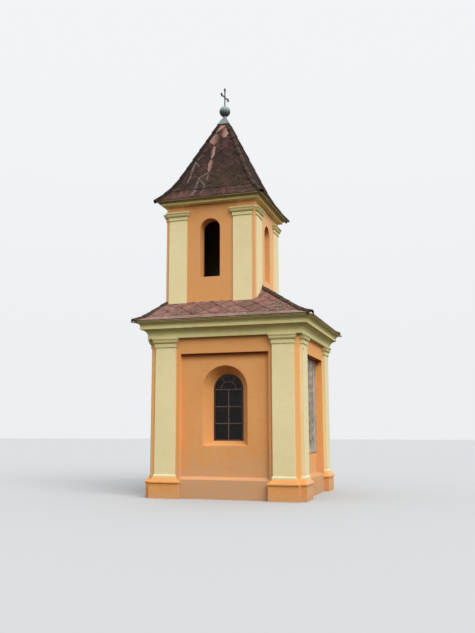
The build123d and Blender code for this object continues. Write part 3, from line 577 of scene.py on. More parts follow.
boards, irons = [], []
for hand in (-1, 1):
    for near, far in zip(board_edges[:-1] + board_gap, board_edges[1:] - board_gap):
        section = [
            (near, 0.0), (near, board_side), (near + bevel, board_front),
            (far - bevel, board_front), (far, board_side), (far, 0.0),
        ]
        boards.append(swept(board_path, (0, hand, 0), (-1, 0, 0), section))
    for z in strap_heights:
        edges = [np.stack([strap_reach * hand, z + half], 1) for half in (strap_half, -strap_half)]
        irons.append(flat_iron(np.concatenate([edges[0], edges[1][::-1]]), strap_thickness))
        for nail in nail_places:
            head = np.empty((3, 10, 3))
            head[..., 0] = iron_back - nail_depths[:, None]
            head[..., 1:] = nail_radii[:, None, None] * circle(10, 1) + (nail * hand, z)
            irons.append((head.reshape(-1, 3), tube_faces(3, 10)))
irons.append(flat_iron(lock_plate, lock_thickness))
ring_side = np.insert(circle(24, 1), 0, 0, axis=1)
ring_path = ring_middle + ring_radius * ring_side
irons.append(swept(ring_path, ring_side, (1, 0, 0), circle(8, ring_wire), closed=True))

old_boards, given, put_out, place = new_group("old boards", ("wood", "grain", "bleached"))
fibres = noise(place * (60, 60, 2.2), 1, 5, 0.35, 0.7)
waves = noise(place * (9, 9, 0.8), 1, 3, 0.35, 0.7)
foot_bleach = spread(place.split()[2] + waves * 0.4, 0.2, 1.1, 0.7, 0.1)
coat = layered(
    given.wood, (fibres, given.grain), (waves * 0.5, given.wood), (foot_bleach, given.bleached)
)
end_group(put_out, coat, fibres, 0.55, 0.8, fibres)
door_wood = surface(
    "door wood", old_boards, 0.002, wood=(108, 76, 52), grain=(72, 48, 34), bleached=(126, 104, 84)
)
door_iron = surface(
    "door iron", old_iron, 0.001, coat=(52, 50, 50), rust=(92, 56, 38), rusting=0.55
)
dress(door_wood, "door_frame", "door_leaf_right", "door_leaf_left", "door_head")
new_piece("door_boards", make_mesh(*joined(boards)), door_wood, 25)
new_piece("door_ironwork", make_mesh(*joined(irons)), door_iron)

# Wall anchor: the flat end of a wrought iron tie that shows in the rear right pilaster, forged
# thin and rusted through its paint.
anchor_section = [
    (-0.015, 0.0), (0.015, 0.0), (0.015, 0.003), (0.010, 0.005), (-0.010, 0.005), (-0.015, 0.003)
]
anchor_path = [(1.849, -1.562, 3.324), (1.849, -1.562, 3.390)]
anchor = swept(anchor_path, (0, 1, 0), (1, 0, 0), anchor_section)
new_piece("wall_anchor", make_mesh(*anchor), door_iron)

# Doorstep, floor and the slab over the room: grey concrete with a coarse grain, worn and stained.
concrete = surface(
    "old concrete", weathered_cast, 0.004, body=(158, 152, 142), dark=(118, 112, 104),
    pale=(182, 176, 166), runs=0.2, size=2.0,
)
dress(concrete, "doorstep", "floor_slab", "ceiling_slab")

# Skirt roof: square fibre-cement sheets hung corner down over boards, each row half a sheet
# across from the one below. Along the eaves lies a straight course of rectangular starter sheets,
# on the flatter foot of the slope. The sheets have weathered to a pinkish brown.
diagonal, half_diagonal = 0.48, 0.24
sheet_thickness, sheet_lift, head_gap = 0.006, 0.017, 0.002
sheet_slip, sheet_twist, sheet_bow, sheet_columns = 0.003, 0.012, 0.0015, 5
side_share, foot_half, head_half, hidden_head = 0.985, 0.004, 0.05, 0.09
starter_gap, starter_shift, starter_reach, starter_drop = 0.002, 0.1, 2.3, -0.014
eave_half_length, eave_half_width, eave_height = 2.124, 2.064, 4.11
kick_run, kick_height, skirt_slope = 0.3, 4.23, 0.66
tower_front, tower_rear = tower_middle - tower_half, tower_middle + tower_half
front_hip = np.array((eave_half_length + tower_front, eave_half_width - tower_half))
front_squeeze = front_hip[0] / front_hip[1]
skirt_vertex, skirt_overlap, wall_overlap = 0.225, 0.004, 0.01
field_foot, side_head, end_head, field_reach = -0.1, 1.5, 1.6, 2.2
chance = np.random.default_rng(11)


def sheet_outline(corner_down):
    """Half widths of a sheet at heights above its foot: a corner-down square whose sides meet the
    neighbours half a diagonal up and whose hidden head narrows, or a rectangle for a starter."""
    if not corner_down:
        y = np.array((0, 0.01, 0.09, 0.18, 0.27, 0.36))
        return np.full(len(y), half_diagonal - starter_gap), y
    widest, end = half_diagonal, diagonal + hidden_head
    y = np.array((0, 0.01, 0.06, 0.12, 0.18, widest, widest + 0.03, 0.38, 0.48, end))
    x = np.minimum(y, widest * side_share)
    x[0] = foot_half
    x[7:] = np.interp(y[7:], (y[6], end), (x[6], head_half))
    return x, y


def lay_sheets(slope, feet, corner_down, bare=np.zeros((1, 3)), darkest=0.0):
    """Sheets with their feet at points (across, up) of a slope. The slope turns arrays of across,
    up and height above its face into places. A sheet's face falls from the lift at its foot to
    2 mm at its head, and its back is parallel, one thickness below. Tones start at darkest."""
    x, y = sheet_outline(corner_down)
    share, count = np.linspace(-1, 1, sheet_columns), len(feet)
    shift, twist, slide = chance.uniform(-1, 1, (count, 3)).T[..., None, None]
    across, up = feet.T[..., None, None]
    across = across + x[:, None] * share + sheet_slip * shift + sheet_twist * twist * y[:, None]
    up = up + y[:, None] + sheet_slip * slide
    lift = sheet_lift if corner_down else sheet_thickness
    face = sheet_thickness + head_gap + lift * (1 - y / y[-1])[:, None]
    face = face + sheet_bow * chance.uniform(-1, 1, (count, 1, 1)) * share**2
    both = np.stack([face, face - sheet_thickness], 1)
    corners = slope(across[:, None], up[:, None], both).reshape(-1, 3)
    place = np.zeros((count, 2, len(y), sheet_columns, 3))
    place[..., 0] = np.outer(x, share) / half_diagonal
    place[..., 1] = y[:, None] / diagonal if corner_down else 0.5
    place[..., 2] = (chance.uniform(0, 1, count) + darkest)[:, None, None, None]
    marks = {"sheet_place": place, "sheet_wear": place * 0 + bare[:, None, None, None]}
    return corners, slab_faces(len(y), sheet_columns, count), marks


def add_trimmed(cover, laid, *regions):
    """Adds laid sheets to a cover once for each region, cut off at the region's planes and closed
    there. A plane is a point and the direction that is cut away."""
    mesh = make_mesh(*laid)
    for planes in regions:
        part = bmesh.new()
        part.from_mesh(mesh)
        for point, away in planes:
            bmesh.ops.bisect_plane(
                part, geom=part.verts[:] + part.edges[:] + part.faces[:], plane_co=point,
                plane_no=away, clear_outer=True,
            )
            bmesh.ops.holes_fill(part, edges=[edge for edge in part.edges if edge.is_boundary])
        trimmed = finished_mesh(part)
        cover.from_mesh(trimmed)
        bpy.data.meshes.remove(trimmed)
    bpy.data.meshes.remove(mesh)


def finished_mesh(cover):
    """Mesh of everything that a cover has gathered."""
    mesh = bpy.data.meshes.new("laid")
    cover.to_mesh(mesh)
    cover.free()
    return mesh


def slope_parts(away, reach, squeeze):
    """Field and flatter foot of a slope that faces one way, and the plane where the foot begins.
    Each is straight: its start plus across, up and out, each times its number."""
    away, kick = np.array((*away, 0.0)), reach - kick_run * squeeze
    parts = []
    for rise, start, height in (
        (skirt_slope / squeeze, kick, kick_height),
        ((kick_height - eave_height) / (kick_run * squeeze), reach, eave_height),
    ):
        (run, climb), start = polar(np.arctan(rise)), away * start + (0, 0, height)
        ways = abs(away[[1, 0, 2]]), away * -run + (0, 0, climb), away * climb + (0, 0, run)
        parts.append(lambda u, v, h, start=start, ways=ways: start + sum(
            number[..., None] * way for number, way in zip((u, v, h), ways)
        ))
    return (*parts, (away * (kick + skirt_overlap), away))


def hip_plane(end, hand, towards):
    """Upright plane through a hip. Towards is 1 to cut away what lies on the hip's end slope."""
    away = (1, -hand, 0) if end > 0 else (-front_hip[1], -hand * front_hip[0], 0)
    return (end * eave_half_length, hand * eave_half_width, 0), np.array(away) * towards


def diamond_feet(vertex, low, high, reach):
    """Feet of corner-down sheets over a field: the lattice through a vertex, with rows half a
    diagonal apart and every second one half a diagonal across."""
    ends = np.array([(-reach, reach), (low, high)]) - np.array(vertex)[:, None]
    first, last = np.floor(ends[:, 0] / half_diagonal), np.ceil(ends[:, 1] / half_diagonal) + 1
    i, j = np.meshgrid(np.arange(first[0], last[0]), np.arange(first[1] - 1, last[1]))
    keep = (i + j) % 2 == 0
    return vertex + np.stack([i[keep], j[keep]], 1) * half_diagonal


def starter_feet(reach, foot):
    """Feet of the rectangular sheets of an eave course, side by side from one end."""
    across = np.arange(-reach, reach + diagonal, diagonal) + starter_shift
    return np.stack([across, 0 * across + foot], 1)


cover, course = bmesh.new(), bmesh.new()
skirt_starters = starter_feet(starter_reach, starter_drop)
for hand in (-1, 1):
    field, foot, kick_plane = slope_parts((0, hand), eave_half_width, 1.0)
    hips = [hip_plane(end, hand, 1) for end in (-1, 1)]
    wall, away = (0, hand * (tower_half - wall_overlap), 0), (0, hand, 0)
    behind_tower = [((tower_rear + wall_overlap, 0, 0), (-1, 0, 0)), (wall, away), hips[1]]
    feet = diamond_feet((skirt_vertex, 0.0), field_foot, side_head, field_reach)
    laid = lay_sheets(field, feet, True)
    add_trimmed(cover, laid, [kick_plane, *hips, (wall, (0, -hand, 0))], behind_tower)
    add_trimmed(course, lay_sheets(foot, skirt_starters, False), hips)
for end, squeeze in ((-1, front_squeeze), (1, 1.0)):
    field, foot, kick_plane = slope_parts((end, 0), eave_half_length, squeeze)
    hips = [hip_plane(end, hand, -1) for hand in (-1, 1)]
    wall_plane = ((tower_middle + end * (tower_half - wall_overlap), 0, 0), (-end, 0, 0))
    laid = lay_sheets(field, diamond_feet((0.0, 0.0), field_foot, end_head, field_reach), True)
    add_trimmed(cover, laid, [kick_plane, wall_plane, *hips])
    add_trimmed(course, lay_sheets(foot, skirt_starters, False), hips)

# Roofing sheets: one tone per sheet, clouds and rain runs, a dark joint under the sheets above
# that is dirt and painted shadow, stronger on one side as painted shadow, a pale worn lower rim,
# bare strips where the skin has gone, lichen.


def attribute_parts(tree, name):
    """The three numbers of a vector attribute of the mesh."""
    node = add_node(tree, "ShaderNodeAttribute", attribute_name=name)
    return Field(node.outputs["Vector"]).split()


roof_sheet, given, put_out, place = new_group(
    "weathered roof sheet",
    ("body", "dark", "pale", "bare", "joint", "lichen", "moss", "edge"),
    tone=0.5, rim=0.5, joints=1, joints_above=-1, lean=1, lichens=0.5, lichen_place=(0, 0, 0),
    lichen_reach=1,
)
x, y, tint = attribute_parts(roof_sheet, "sheet_place")
strip_middle, strip_half, bareness = attribute_parts(roof_sheet, "sheet_wear")
half_across = abs(x) * 0.5
clouds = noise(place, 1.7, 5, 0.36, 0.64)
blotches = noise(place, 9, 6, 0.40, 0.66)
fleck = noise(place, 48, 5, 0.46, 0.72)
runs = noise(place * (24, 24, 2), 1, 4, 0.38, 0.68)
crust = noise(place, 30, 2, 0.655, 0.70)
faded = spread(tint, 1.0, 1.3, 0.55, 0.08)
off_patch = place.maths("DISTANCE", given.lichen_place, "Value") / given.lichen_reach
near_by = spread(off_patch, 0.3, 1.0, 1.0, 0.1)
off_strip = x - strip_middle
lens = (1.0 - y).maths("MAXIMUM", 0.0) * y
inside = lens.maths("POWER", 0.3) * (strip_half * 1.5) - (abs(off_strip) + runs * 0.05)
leaning = off_strip * bareness.maths("SIGN") / strip_half.maths("MAXIMUM", 0.05)
strip = spread(inside, -0.05, 0.06) * abs(bareness) * spread(leaning, -1.0, 0.5, 0.25, 1.0)
strip = strip * spread(runs, 0, 1, 1.0, 0.72)
# The joint is darker on the side that lean picks, as painted shadow.
shadow_side = spread(x * given.lean, -0.15, 0.15, 0.3, 1.0)
joint = spread(1.0 - half_across - y - blotches * 0.02, 0.005, 0.075, 0.95, 0.0) * shadow_side
joint = joint * given.joints * spread(clouds, 0, 1, 1.0, 0.5)
joint = joint * spread(place.split()[2] - given.joints_above, -0.4, 0.5, 0.25, 1.0)
rim = spread(y - half_across, 0.01, 0.07, 1.0, 0.0) * given.rim
rim = rim * spread(blotches, 0, 1, 1.0, 0.2) * spread(x, -0.1, 0.1, 1.0, 0.3)
coat = layered(
    given.body, (spread(tint, 0.1, 0.9) * given.tone, given.dark), (clouds * faded, given.pale),
    (blotches * 0.75, given.dark), (fleck * faded, given.pale),
    (near_by * spread(blotches, 0, 1, 0.25, 0.85), given.moss), (strip, given.bare),
    (joint, given.joint), (rim, given.edge), (crust * near_by * given.lichens, given.lichen),
)
end_group(put_out, coat, clouds, 0.7, 0.92, fleck * 0.5 + blotches)
sheet_bump, skirt_lichen = 0.002, (206, 202, 190)
skirt_finish = surface(
    "skirt roof sheets", roof_sheet, sheet_bump, body=(128, 86, 76), dark=(80, 57, 50),
    pale=(146, 110, 100), bare=(150, 100, 88), joint=(44, 30, 28), lichen=skirt_lichen,
    moss=(80, 68, 52), edge=(146, 110, 100), tone=0.65, rim=0.4, lichens=0.9,
    lichen_place=(1.25, -1.55, 4.35), lichen_reach=0.55,
)
course_finish = surface(
    "skirt eave course", roof_sheet, sheet_bump, body=(134, 104, 96), dark=(98, 73, 65),
    pale=(152, 127, 117), bare=(150, 100, 88), joint=(76, 55, 49), lichen=skirt_lichen,
    moss=(94, 80, 62), edge=(152, 127, 117), rim=0.2, joints=0.5, lichens=0.9,
    lichen_place=(0.9, -1.9, 4.2), lichen_reach=0.7,
)
boarding = surface(
    "roof bedding", weathered_cast, 0.002, body=(150, 136, 96), dark=(112, 98, 66),
    pale=(170, 156, 112), runs=0.3, size=2.0,
)
new_piece("skirt_sheets", finished_mesh(cover), skirt_finish)
new_piece("skirt_eave_course", finished_mesh(course), course_finish)
dress(boarding, "skirt_roof_right", "skirt_roof_left", "skirt_roof_rear", "skirt_roof_front")

# Hips of the skirt roof: half-round clay ridge tiles laid from the eave up, the wide end of each
# over the narrow end of the one below. They are dark, with lichen, and the lowest stays open.
hip_length, hip_exposed, hip_thickness = 0.40, 0.34, 0.012
hip_rise_slip, hip_side_slip, hip_size_slip = 0.002, 0.004, 0.0015
skirt_hip_wide, skirt_hip_narrow, skirt_hip_sink = 0.073, 0.061, 0.008
past, head_lift, into_tower, front_into = 0.04, 0.014, 0.09, 0.12
rear_trim, front_trim, eave_trim, hip_half_arc = 0.012, 0.1, 0.005, 112
rear_hip_tiles, front_hip_tiles, fresh_tones = 7, 4, (0.0, 1.0)


def unit(vectors):
    """Vectors made one long."""
    return vectors / np.linalg.norm(vectors, axis=-1, keepdims=True)


def lengths_along(line):
    """Distance of each point of a polyline from its start."""
    return np.concatenate([[0], np.cumsum(np.linalg.norm(np.diff(line, axis=0), axis=1))])


def along_line(line, distances):
    """Points of a polyline at distances from its start."""
    return np.stack([np.interp(distances, lengths_along(line), part) for part in line.T], 1)


def hip_row(line, count, wide, narrow, sink, tones):
    """Row of half-round tiles up a hip: each is an arc of 224 degrees about the hip line, sunk a
    little, whose radius falls from its foot to its head, with a parallel inside."""
    line = np.concatenate([[line[0] + unit(line[0] - line[1]) * past], line[1:]])
    starts = hip_exposed * np.arange(count)
    foot, head = along_line(line, starts), along_line(line, starts + hip_length)
    side = unit(np.cross(head - foot, (0, 0, 1.0)))
    over = np.cross(side, unit(head - foot))
    slip = chance.uniform(-1, 1, (count, 2, 2))
    angle = np.radians(np.linspace(-hip_half_arc, hip_half_arc, 17))
    t = np.array((0, 0.03, 0.5, 1.0))
    centre = foot[:, None] + (head - foot)[:, None] * t[:, None]
    centre = centre + over[:, None] * (hip_rise_slip * slip[:, :1, :1] - sink)
    centre = (centre + side[:, None] * hip_side_slip * slip[:, 1:, :1])[:, :, None]
    radius = (wide + (narrow - wide) * t[:, None] + hip_size_slip * slip[:, :1, 1:])[..., None]
    ring = polar(angle) @ np.stack([over, side], 1)
    outer, inner = (centre + ring[:, None] * size for size in (radius, radius - hip_thickness))
    corners = np.concatenate([outer, inner[:, :, ::-1]], 2)
    points, step = 2 * len(angle), np.arange(len(angle) - 1)
    foot_cap = np.stack([step, step + 1, points - 2 - step, points - 1 - step], 1)
    head_cap = foot_cap[:, ::-1] + (len(t) - 1) * points
    one = np.concatenate([grid_quads(len(t), points, False, True), foot_cap, head_cap])
    place = np.zeros(corners.shape)
    place[..., 1] = t[:, None]
    place[..., 2] = chance.uniform(*tones, count)[:, None, None]
    faces = [repeated(one, count, points * len(t))]
    return corners.reshape(-1, 3), faces, {"sheet_place": place}


def flipped(laid, x, y):
    """Shells moved to another side of the tower's axis, with x or y at -1."""
    corners, *others = laid
    return ((corners - (tower_middle, 0, 0)) * (x, y, 1) + (tower_middle, 0, 0), *others)


def skirt_hip_line(corner, squeeze, reach, lift):
    """Right-hand hip from the eave over the kick to its head, each point that far in."""
    head_height = kick_height + skirt_slope * (reach - kick_run) + lift
    return np.array([
        (corner - np.sign(corner) * run * squeeze, -eave_half_width + run, height)
        for run, height in ((0, eave_height), (kick_run, kick_height), (reach, head_height))
    ])


rear_reach = eave_half_length - tower_rear + into_tower
rear_line = skirt_hip_line(eave_half_length, 1.0, rear_reach, head_lift)
front_reach = eave_half_width - tower_half + front_into
front_line = skirt_hip_line(-eave_half_length, front_squeeze, front_reach, 0.0)
hip_cover = bmesh.new()
skirt_hip = (skirt_hip_wide, skirt_hip_narrow, skirt_hip_sink, fresh_tones)
short_end = ((eave_half_length - eave_trim, 0, 0), (1, 0, 0))
rear_plane = ((tower_rear + rear_trim, 0, 0), (-1, 0, 0))
front_plane = ((0, -tower_half + front_trim, 0), (0, 1, 0))
across = np.array((1, -1, 1))
for laid, (point, away) in (
    (hip_row(rear_line, rear_hip_tiles, *skirt_hip), rear_plane),
    (hip_row(front_line, front_hip_tiles, *skirt_hip), front_plane),
):
    add_trimmed(hip_cover, laid, [(point, away)])
    add_trimmed(hip_cover, flipped(laid, 1, -1), [(across * point, across * away), short_end])

old_clay, given, put_out, place = new_group(
    "old ridge clay", ("body", "dark", "moss", "lichen"), lichens=0.5
)
_, up_tile, tint = attribute_parts(old_clay, "sheet_place")
clouds = noise(place, 5, 5, 0.38, 0.66)
moss = noise(place, 11, 5, 0.48, 0.66)
crust = noise(place, 42, 4, 0.56, 0.68)
# Tones above 1 are painted shade: they darken the tile and thin its moss and lichen.
unshaded_share = spread(tint, 1.0, 1.4, 1.0, 0.3)
coat = layered(
    given.body, (tint * 0.6, given.dark), (clouds * 0.7, given.dark),
    (moss * (unshaded_share * 0.55), given.moss), (crust * (unshaded_share * given.lichens), given.lichen),
    # Each tile is painted darker just under the foot of the next, as painted shade.
    (spread(up_tile, 0.72, 0.84, 0.0, 0.8), given.dark),
)
end_group(put_out, coat, moss, 0.72, 0.95, crust + moss)
hip_finish = surface(
    "hip tile clay", old_clay, 0.002, 0.1, body=(90, 66, 57), dark=(44, 37, 33), moss=(74, 65, 46),
    lichen=(138, 130, 118), lichens=0.35,
)
skirt_hips = new_piece("skirt_hip_row", finished_mesh(hip_cover), hip_finish)
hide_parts("skirt_hip_tiles")

# Mortar fillet where the skirt roof meets the tower, pointed by hand round its pilasters, and a
# lump of mortar in the foot of each hip. The fillet and the lumps at the heads of the hips are
# coloured dark brown as painted shade along the tower's foot.
pilaster_proud, pilaster_near, pilaster_far = 0.03, 0.604, 1.076
quarter_turns = ((1, 0), (0, 1), (-1, 0), (0, -1))
fillet_reach, fillet_climb, outline_steps, unevenness = 0.016, 0.022, 12, 0.35
fillet_section = ((-0.3, -0.6), (1.0, -0.6), (1.0, 0.55), (0.45, 0.72), (0.0, 1.0), (-0.3, 1.0))
lump_size, head_lump_size = (0.036, 0.036, 0.028), (0.024, 0.036, 0.058)
rear_lump_shift, front_lump_shift = (0.012, -0.012, -0.030), (-0.0048, -0.0108, -0.030)
head_lump_proud, head_lump_rise, lump_unevenness = 0.015, 0.02, 0.15


def skirt_height(x, y):
    """Height of the skirt roof: the lower of the side, rear and front slopes."""
    runs = (eave_half_width - abs(y), eave_half_length - x, (x + eave_half_length) / front_squeeze)
    return kick_height + skirt_slope * (np.min(runs, 0) - kick_run)


wall, proud = -tower_half, -tower_half - pilaster_proud
edges = np.repeat((-pilaster_far, -pilaster_near, pilaster_near, pilaster_far), 2)
quarter = np.stack([[wall, *edges], [wall] + 2 * [wall, proud, proud, wall]], 1)
outline = np.concatenate([quarter @ np.array([(c, s), (-s, c)]) for c, s in quarter_turns])
ahead = np.roll(outline, -1, 0) - outline
steps = np.arange(outline_steps)[:, None] / outline_steps
dense = (outline[:, None] + ahead[:, None] * steps).reshape(-1, 2)
ahead = unit(np.roll(dense, -1, 0) - dense)
normal = (ahead + np.roll(ahead, 1, 0))[:, ::-1] * (1, -1)
normal /= np.maximum((normal**2).sum(1), 0.5)[:, None] / 2
dense = dense + (tower_middle, 0)
waver = 1 + unevenness * np.sin(37 * dense[:, 0] + 1.3) * np.sin(29 * dense[:, 1])
rings = []
for out, up in fillet_section:
    flat = dense + normal * (out * fillet_reach * waver)[:, None]
    height = skirt_height(*(flat if out >= 1 else dense).T) + up * fillet_climb * waver
    rings.append(np.concatenate([flat, height[:, None]], 1))
fillet = np.stack(rings, 1).reshape(-1, 3), tube_faces(len(dense), len(rings), closed=True)
t, s = np.meshgrid(np.linspace(0.05, pi - 0.05, 7), np.arange(12) * pi / 6, indexing="ij")
lump = np.stack([np.cos(t), np.sin(t) * np.cos(s), np.sin(t) * np.sin(s)], -1)
lump = lump * (1 + lump_unevenness * np.sin(5 * lump[..., :1] + 9 * lump[..., 1:2]))
lumps, head_lumps = [], []
hip_head = rear_line[-1] + (0, -into_tower, head_lump_rise - skirt_slope * into_tower)
hip_head[0] = tower_rear + head_lump_proud
for hand in (1, -1):
    for gathered, size, middle in (
        (lumps, lump_size, rear_line[0] + rear_lump_shift),
        (lumps, lump_size, front_line[0] + front_lump_shift),
        (head_lumps, head_lump_size, hip_head),
    ):
        corners = lump * size + middle * (1, hand, 1)
        gathered.append((corners.reshape(-1, 3), tube_faces(*t.shape)))
# Dark brown, as painted shade along the tower's foot.
mortar = surface(
    "pointing mortar in painted shade", weathered_cast, 0.003, body=(82, 62, 52), dark=(52, 40, 34),
    pale=(104, 84, 70), runs=0.5, size=4.0,
)
fresh_mortar = surface(
    "hip mortar", weathered_cast, 0.003, body=(196, 186, 164), dark=(150, 138, 116),
    pale=(216, 208, 190), runs=0.3, size=4.0,
)
new_piece("roof_foot_pointing", make_mesh(*joined([fillet, *head_lumps])), mortar, 60)
new_piece("hip_foot_mortar", make_mesh(*joined(lumps)), fresh_mortar, 60)

# Tower roof: the same sheets, corner down on a steep pyramid that flares over the cornice, over
# one straight course at the eave. They are older and nearly black-brown, with pink bare strips.
# Its section has a straight foot, an arc that touches both slopes, and a straight upper slope.
bell_eave_half, bell_eave_height = 1.371, 7.265
bell_break_half, bell_foot_slope, bell_slope, bell_radius = 1.05, 1.06, 2.2, 2.6
bell_course, cap_foot_height = 0.36, 9.664
bell_vertex_across, bell_vertex_height, bell_reach, darkened = -0.145, 8.94, 1.4, 1.3
bell_lowest, bell_starter_reach, bell_starter_drop = 0.2, 1.5, -0.012
eave_dip, section_step = 0.7, 0.02
low, high = np.arctan((bell_foot_slope, bell_slope))
break_height = bell_eave_height + bell_foot_slope * (bell_eave_half - bell_break_half)
tangent = bell_radius * np.tan((high - low) / 2)
centre = polar(low) * (tangent, -tangent) + bell_radius * polar(low)[::-1]
centre += (bell_break_half, break_height)
arc = centre - bell_radius * polar(np.linspace(low, high, 24))[:, ::-1]
apex = break_height + bell_slope * bell_break_half
bell_line = np.concatenate([[(bell_eave_half, bell_eave_height)], arc, [(0.0, apex)]])
bell_length = lengths_along(bell_line)


def on_bell(v):
    """Half width and height of the roof's section at an arc length."""
    return [np.interp(v, bell_length, part) for part in bell_line.T]


def bell_slope_place(cosine, sine):
    """Face of the bell-cast roof: up the slope is arc length along its section, and out is square
    to the section. The face is turned about the tower's axis."""
    def place_of(u, v, h):
        (half, z), (low_half, low), (high_half, high) = (
            on_bell(v + step) for step in (0, -section_step, section_step)
        )
        rise, run, dip = high - low, low_half - high_half, eave_dip * np.minimum(v, 0)
        steep = np.maximum(np.hypot(rise, run), 1e-6)
        y = dip - half - h * rise / steep
        x, y = tower_middle + cosine * u - sine * y, sine * u + cosine * y
        return np.stack([x, y, z + dip + h * run / steep], -1)
    return place_of


vertex_up = np.interp(bell_vertex_height, bell_line[:, 1], bell_length)
vertex = np.array((bell_vertex_across, vertex_up))
feet = diamond_feet(vertex, bell_lowest, bell_length[-1], bell_reach)
bell_starters = starter_feet(bell_starter_reach, bell_starter_drop)
steps = np.round((feet - vertex) / half_diagonal)
bare = np.zeros((len(feet), 3))
for column, row, strip in (
    (0, 0, (-0.22, 0.58, -0.85)), (0, -2, (0.02, 0.24, 0.9)), (0, -4, (0.02, 0.26, -0.75)),
    (1, 1, (0.0, 0.42, 0.95)), (0, 2, (0.1, 0.9, 1.0)), (-1, 1, (0.4, 0.5, 0.9)),
):
    bare[(steps == (column, row)).all(1)] = strip
cover, course = bmesh.new(), bmesh.new()
cap_plane = ((0, 0, cap_foot_height), (0, 0, 1))
course_plane = ((0, 0, on_bell(bell_course)[1]), (0, 0, -1))
for turned, (cosine, sine) in enumerate(quarter_turns):
    slope = bell_slope_place(cosine, sine)
    hips = [((tower_middle, 0, 0), (cosine * a - sine, sine * a + cosine, 0)) for a in (-1, 1)]
    laid = lay_sheets(slope, feet, True, bare * (turned == 0), darkened * (turned == 1))
    add_trimmed(cover, laid, [*hips, course_plane, cap_plane])
    add_trimmed(course, lay_sheets(slope, bell_starters, False), hips)

# Lime that the rain has drawn down from the joints: a thin pale run between two places, each
# across and up on the right-hand slope.
lime_run, given, put_out, place = new_group(
    "lime run", (), ("mask",), start=(0, 0, 0), end=(0, 0, 0), half_width=0.01
)
whole, here = given.end - given.start, place * (1, 0, 1) - given.start
share = here.maths("DOT_PRODUCT", whole, "Value") / whole.maths("DOT_PRODUCT", whole, "Value")
share = share.maths("MAXIMUM", 0.0).maths("MINIMUM", 1.0)
apart = here.maths("DISTANCE", whole * share, "Value")
fade = spread(noise(place, 22, 4, 0.3, 0.65), 0, 1, 0.3, 1.0)
feed(put_out, {"mask": spread(apart / given.half_width, 0.2, 1.9, 1.0, 0.0) * fade})

bell_finish = surface(
    "tower roof sheets", roof_sheet, sheet_bump, 0.06, body=(60, 44, 40), dark=(36, 28, 26),
    pale=(88, 64, 60), bare=(160, 123, 114), joint=(20, 15, 13), lichen=(130, 120, 108),
    moss=(52, 43, 30), edge=(108, 80, 72), tone=0.75, joints=0.9, joints_above=8.9, lean=-1,
    lichens=0.6, lichen_place=(-0.2, -1.2, 7.7), lichen_reach=1.2,
)
bell_course_finish = surface(
    "tower eave course", roof_sheet, sheet_bump, 0.06, body=(62, 45, 40), dark=(37, 29, 27),
    pale=(112, 80, 73), bare=(150, 100, 88), joint=(32, 24, 22), lichen=(160, 132, 124),
    moss=(52, 43, 34), edge=(104, 80, 73), tone=0.9, rim=0.2, joints=0.5, lichens=0.9,
    lichen_place=(0.4, -1.3, 7.4), lichen_reach=1.0,
)
for finish, lines in (
    (bell_finish, (
        (0.019, (-0.129, 8.083), (-0.395, 7.901), (-0.404, 7.754), (-0.413, 7.617)),
        (0.013, (-0.152, 8.076), (-0.161, 7.82)),
        (0.016, (-0.395, 7.901), (-0.176, 7.656), (-0.181, 7.588)),
        (0.018, (-0.575, 8.46), (-0.467, 8.326)),
        (0.022, (-0.575, 8.46), (-0.609, 8.264), (-0.622, 8.17)),
        (0.018, (-0.632, 8.089), (-0.639, 7.978), (-0.677, 7.807)),
        (0.011, (-0.535, 8.525), (-0.404, 8.68)),
    )),
    (bell_course_finish, (
        (0.018, (-0.385, 7.551), (-0.433, 7.372)), (0.016, (-0.187, 7.496), (-0.220, 7.377)),
    )),
):
    tree, limed = finish.node_tree, None
    shader = tree.nodes["Principled BSDF"].inputs
    for half_width, *line in lines:
        for ends in zip(line, line[1:]):
            start, end = ((tower_middle + across, 0, up) for across, up in ends)
            values = {"start": start, "end": end, "half_width": half_width}
            run = Field(add_node(tree, "ShaderNodeGroup", values, node_tree=lime_run).outputs[0])
            limed = run.maths("MAXIMUM", limed) if limed else run
    limed = limed * (facing_parts(tree)[1] < -0.3) * 0.5
    coat = shader["Base Color"].links[0].from_socket
    feed(shader, {"Base Color": mixed(limed, coat, screen(146, 132, 124))})
new_piece("tower_roof_sheets", finished_mesh(cover), bell_finish)
new_piece("tower_eave_course", finished_mesh(course), bell_course_finish)
dress(boarding, "tower_roof")

# Hips of the tower roof: the same half-round tiles, bedded up the curved hips to the metal cap.
bell_hip_tiles, bell_hip_wide, bell_hip_narrow, bell_hip_sink = 9, 0.071, 0.056, 0.014
bell_hip = np.stack([tower_middle + bell_line[:, 0], -bell_line[:, 0], bell_line[:, 1]], 1)
hip_cover = bmesh.new()
# The hips on the tower's front take darker tones, as painted shade.
for flip_x, tones in ((1, (0.0, 0.8)), (-1, (1.5, 1.7))):
    for flip_y in (1, -1):
        row = hip_row(
            bell_hip, bell_hip_tiles, bell_hip_wide, bell_hip_narrow, bell_hip_sink, tones
        )
        add_trimmed(hip_cover, flipped(row, flip_x, flip_y), [cap_plane])
tower_hip_finish = surface(
    "tower hip tile clay", old_clay, 0.002, 0.06, body=(74, 55, 47), dark=(38, 31, 28),
    moss=(70, 60, 42), lichen=(136, 130, 120), lichens=0.45,
)
tower_hips = new_piece("tower_hip_row", finished_mesh(hip_cover), tower_hip_finish)
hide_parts("tower_hip_tiles")

# Cap of the spire: folded zinc sheet, square over the heads of the hips and round at its neck,
# with a fold along each corner and a turned-out lower edge.
cap_foot, neck_foot, neck_head = 9.662, 9.895, 9.942
cap_half, neck_radius, fold_radius, corner_cut = 0.171, 0.046, 0.006, 1.36


def cap_section(ways, reach, squareness):
    """Distance from the axis along unit directions: a square and a circle of the same reach,
    mixed."""
    square = np.minimum(reach / np.abs(ways).max(-1), reach * corner_cut)
    return squareness * square + (1 - squareness) * reach


